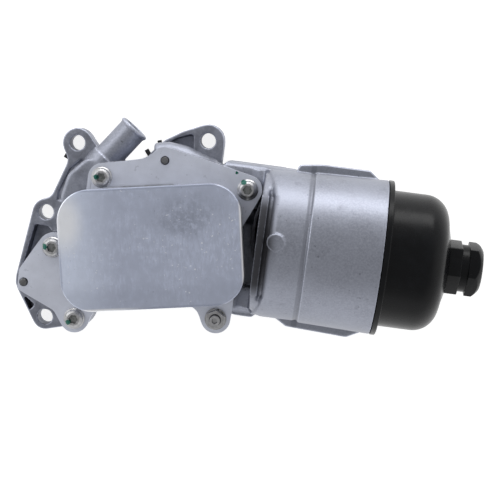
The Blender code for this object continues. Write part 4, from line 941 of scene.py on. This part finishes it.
class OILCOOLER_OT_cap(PieceOperator):
    """Finishes the screw cap of the filter bowl"""

    bl_idname = "oil_cooler.cap"
    bl_label = "Screw cap"

    def execute(self, context):
        settings = context.scene.oil_cooler_cap
        cap = joined("cap", self.shell(), self.collar(), self.neck(), self.head())
        settle(cap, 32)
        stand_for(cap, cap_plastic(settings), "filter_cap")
        return {"FINISHED"}

    def shell(self):
        """The body with its sealing flange, and the spigot that goes into the bowl."""
        ring_start, ring_end, ring_radius = CAP_RING
        body_end, body_radius, corner = CAP_BODY
        groove_start, groove_end, groove_radius = SPIGOT_SEAL_GROOVE
        thread_start, thread_end, thread_radius = SPIGOT_THREAD
        profile = [
            (CAP_RECESS_X, CAP_RECESS_RADIUS),
            (CAP_CROWN_X, CAP_RECESS_RADIUS),
            (CAP_CROWN_X, CAP_CROWN_RADIUS),
            *round_corner(body_end, body_radius - corner, corner, 4, 90, 14),
            (ring_end + 0.0008, body_radius),
            *round_corner(ring_end + 0.0008, body_radius + 0.0008, 0.0008, 270, 180, 3)[1:],
            *round_corner(ring_end - 0.0005, ring_radius - 0.0005, 0.0005, 0, 90, 3),
            *round_corner(ring_start + 0.0003, ring_radius - 0.0003, 0.0003, 90, 180, 2),
            (ring_start, SPIGOT_RADIUS),
            (groove_end, SPIGOT_RADIUS),
            (groove_end, groove_radius),
            (groove_start, groove_radius),
            (groove_start, SPIGOT_RADIUS),
            (SPIGOT_STEP_X, SPIGOT_RADIUS),
            (thread_end, thread_radius),
            (thread_start, thread_radius),
            (thread_start, SPIGOT_BORE_RADIUS),
            *CAP_HOLLOW,
        ]
        return lathe("cap_shell", profile, hollow=True)

    def collar(self):
        """The hexagon under the groove. It swells out of the crown."""
        radius, turn = CAP_HEXAGON
        profile = [(CAP_CROWN_X - 0.0030, radius), (CAP_COLLAR_END_X, radius)]
        collar = lathe("cap_collar", profile, sides=6, turn=turn)
        modify(collar, "BEVEL", width=0.0006, segments=3, limit_method="ANGLE")
        return collar

    def neck(self):
        profile = [(CAP_COLLAR_END_X - 0.0010, CAP_NECK_RADIUS), (CAP_HEAD[0] + 0.0010, CAP_NECK_RADIUS)]
        return lathe("cap_neck", profile, sides=64)

    def head(self):
        """The hexagon for the wrench. A cone turned over its end takes the corners off."""
        radius, turn = CAP_HEXAGON
        start, end = CAP_HEAD
        head = lathe("cap_head", [(start, radius), (end, radius)], sides=6, turn=turn)
        profile = [
            (start - 0.0010, radius + 0.0004),
            (end - 0.0043, radius + 0.0004),
            (end - 0.0023, radius - 0.0014),
            (end - 0.0006, CAP_HEAD_ROUND[0]),
            (end - 0.00001, CAP_HEAD_ROUND[1]),
        ]
        cone = lathe("cap_head_cone", profile, sides=96)
        modify(head, "BOOLEAN", operation="INTERSECT", object=cone)
        bpy.data.objects.remove(cone, do_unlink=True)
        modify(head, "BEVEL", width=0.0005, segments=3, limit_method="ANGLE", angle_limit=math.radians(40))
        return head


class OILCOOLER_OT_filter(PieceOperator):
    """Finishes the filter cartridge, the bypass valve and the rubber seals"""

    bl_idname = "oil_cooler.filter"
    bl_label = "Cartridge, valve and seals"

    def execute(self, context):
        settings = context.scene.oil_cooler_filter
        finishes = {
            PAPER_NODES: plain_finish("filter_paper", settings.paper, 0.85, 0, 300, 0.0001),
            PLASTIC_NODES: plain_finish("element_plastic", settings.plastic, 0.45, 0, 120, 0.00003),
            STEEL_NODES: plain_finish("spring_steel", settings.steel, 0.3, 1, 400, 0.00001),
            RUBBER_NODES: plain_finish("seal_rubber", settings.rubber, 0.55, 0, 200, 0.00003),
        }
        for nodes, material in finishes.items():
            for node in nodes:
                dress(node, material)
        return {"FINISHED"}


def view_axes():
    """Right, up and towards-the-camera directions of the picture."""
    right = Vector((math.cos(VIEW_ROLL), math.sin(VIEW_ROLL), 0))
    up = Vector((-math.sin(VIEW_ROLL), math.cos(VIEW_ROLL), 0))
    back = (Vector((0, 0, 1)) + math.tan(VIEW_TILT) * up + math.tan(VIEW_SIDE) * right).normalized()
    right = (right - right.dot(back) * back).normalized()
    return right, back.cross(right), back


class OILCOOLER_OT_stage(PieceOperator):
    """Sets up the floor, the soft lamps and the camera"""

    bl_idname = "oil_cooler.stage"
    bl_label = "Stage"

    def execute(self, context):
        settings = context.scene.oil_cooler_stage
        self.add_camera(context.scene)
        self.add_floor(context, settings)
        for name, (place, size, power) in LAMPS.items():
            self.add_lamp(context.scene, name, place, size, power)
        self.light_sky(context.scene, settings)
        context.scene.view_settings.view_transform = "Standard"
        return {"FINISHED"}

    def add_camera(self, scene):
        """The camera at the photograph's viewing angle."""
        right, up, back = view_axes()
        data = bpy.data.cameras.new("camera")
        data.sensor_width = SENSOR
        data.lens = SENSOR * VIEW_DISTANCE / VIEW_WIDTH
        camera = bpy.data.objects.new("camera", data)
        scene.collection.objects.link(camera)
        turn = Matrix((right, up, back)).transposed().to_4x4()
        camera.matrix_world = Matrix.Translation(Vector(VIEW_TARGET) + VIEW_DISTANCE * back) @ turn
        scene.camera = camera

    def add_floor(self, context, settings):
        select_only(context.scene.camera)
        bpy.ops.mesh.primitive_plane_add(size=FLOOR_SIZE, location=FLOOR_CENTRE)
        floor = context.object
        floor.name = "floor"
        floor.data.materials.append(self.floor_finish(settings))

    def add_lamp(self, scene, name, place, size, power):
        """A soft rectangular lamp, turned to the object."""
        data = bpy.data.lights.new(name, "AREA")
        data.shape = "RECTANGLE"
        data.size, data.size_y = size
        data.energy = power
        lamp = bpy.data.objects.new(name, data)
        scene.collection.objects.link(lamp)
        lamp.location = place
        direction = Vector(LAMP_TARGET) - Vector(place)
        lamp.rotation_euler = direction.to_track_quat("-Z", "Y").to_euler()

    def floor_finish(self, settings):
        """A pale floor that looks white to the camera and keeps the object's shadow."""
        look = Look("floor")
        look.shader.inputs["Emission Color"].default_value = (1, 1, 1, 1)
        look.feed(look.shader.inputs["Emission Strength"], look.seen() * settings.lift)
        return look.finish(base_color=(*settings.floor, 1), roughness=0.9)

    def light_sky(self, scene, settings):
        """Light from all round, and a white backdrop with a dimmer ceiling for what the camera sees."""
        world = bpy.data.worlds.new("studio")
        scene.world = world
        world.use_nodes = True
        look = Nodes(world.node_tree)
        seen = look.seen()
        height = look.along("Z", look.node("ShaderNodeTexCoord", {}, output="Generated"))
        backdrop = 1 - (1 - settings.ceiling) * look.step(height, *CEILING_HEIGHTS)
        strength = seen * backdrop + (1 - seen) * settings.sky
        plain = world.node_tree.nodes["Background"]
        plain.inputs["Color"].default_value = (1, 1, 1, 1)
        look.feed(plain.inputs["Strength"], strength)


SETTINGS = {
    "oil_cooler_casting": CastingSettings,
    "oil_cooler_sheet": SheetSettings,
    "oil_cooler_cap": CapSettings,
    "oil_cooler_fastener": FastenerSettings,
    "oil_cooler_filter": FilterSettings,
    "oil_cooler_stage": StageSettings,
}
OPERATORS = (
    OILCOOLER_OT_casting,
    OILCOOLER_OT_cooler,
    OILCOOLER_OT_fasteners,
    OILCOOLER_OT_cap,
    OILCOOLER_OT_filter,
    OILCOOLER_OT_stage,
)


class OILCOOLER_PT_panel(bpy.types.Panel):
    """Lists the cooler's pieces and their settings"""

    bl_idname = "OILCOOLER_PT_panel"
    bl_label = "Oil Cooler"
    bl_space_type = "VIEW_3D"
    bl_region_type = "UI"
    bl_category = "Oil Cooler"

    def draw(self, context):
        for operator, (name, group) in zip(OPERATORS, SETTINGS.items()):
            box = self.layout.box()
            box.operator(operator.bl_idname)
            for key in group.__annotations__:
                box.prop(getattr(context.scene, name), key)


def register():
    for kind in (*SETTINGS.values(), *OPERATORS, OILCOOLER_PT_panel):
        bpy.utils.register_class(kind)
    for name, group in SETTINGS.items():
        setattr(bpy.types.Scene, name, bpy.props.PointerProperty(type=group))


def unregister():
    for name in SETTINGS:
        delattr(bpy.types.Scene, name)
    for kind in (OILCOOLER_PT_panel, *reversed(OPERATORS), *reversed(SETTINGS.values())):
        bpy.utils.unregister_class(kind)


def main():
    register()
    for operator in OPERATORS:
        group, name = operator.bl_idname.split(".")
        getattr(getattr(bpy.ops, group), name)()


if __name__ == "__main__":
    main()
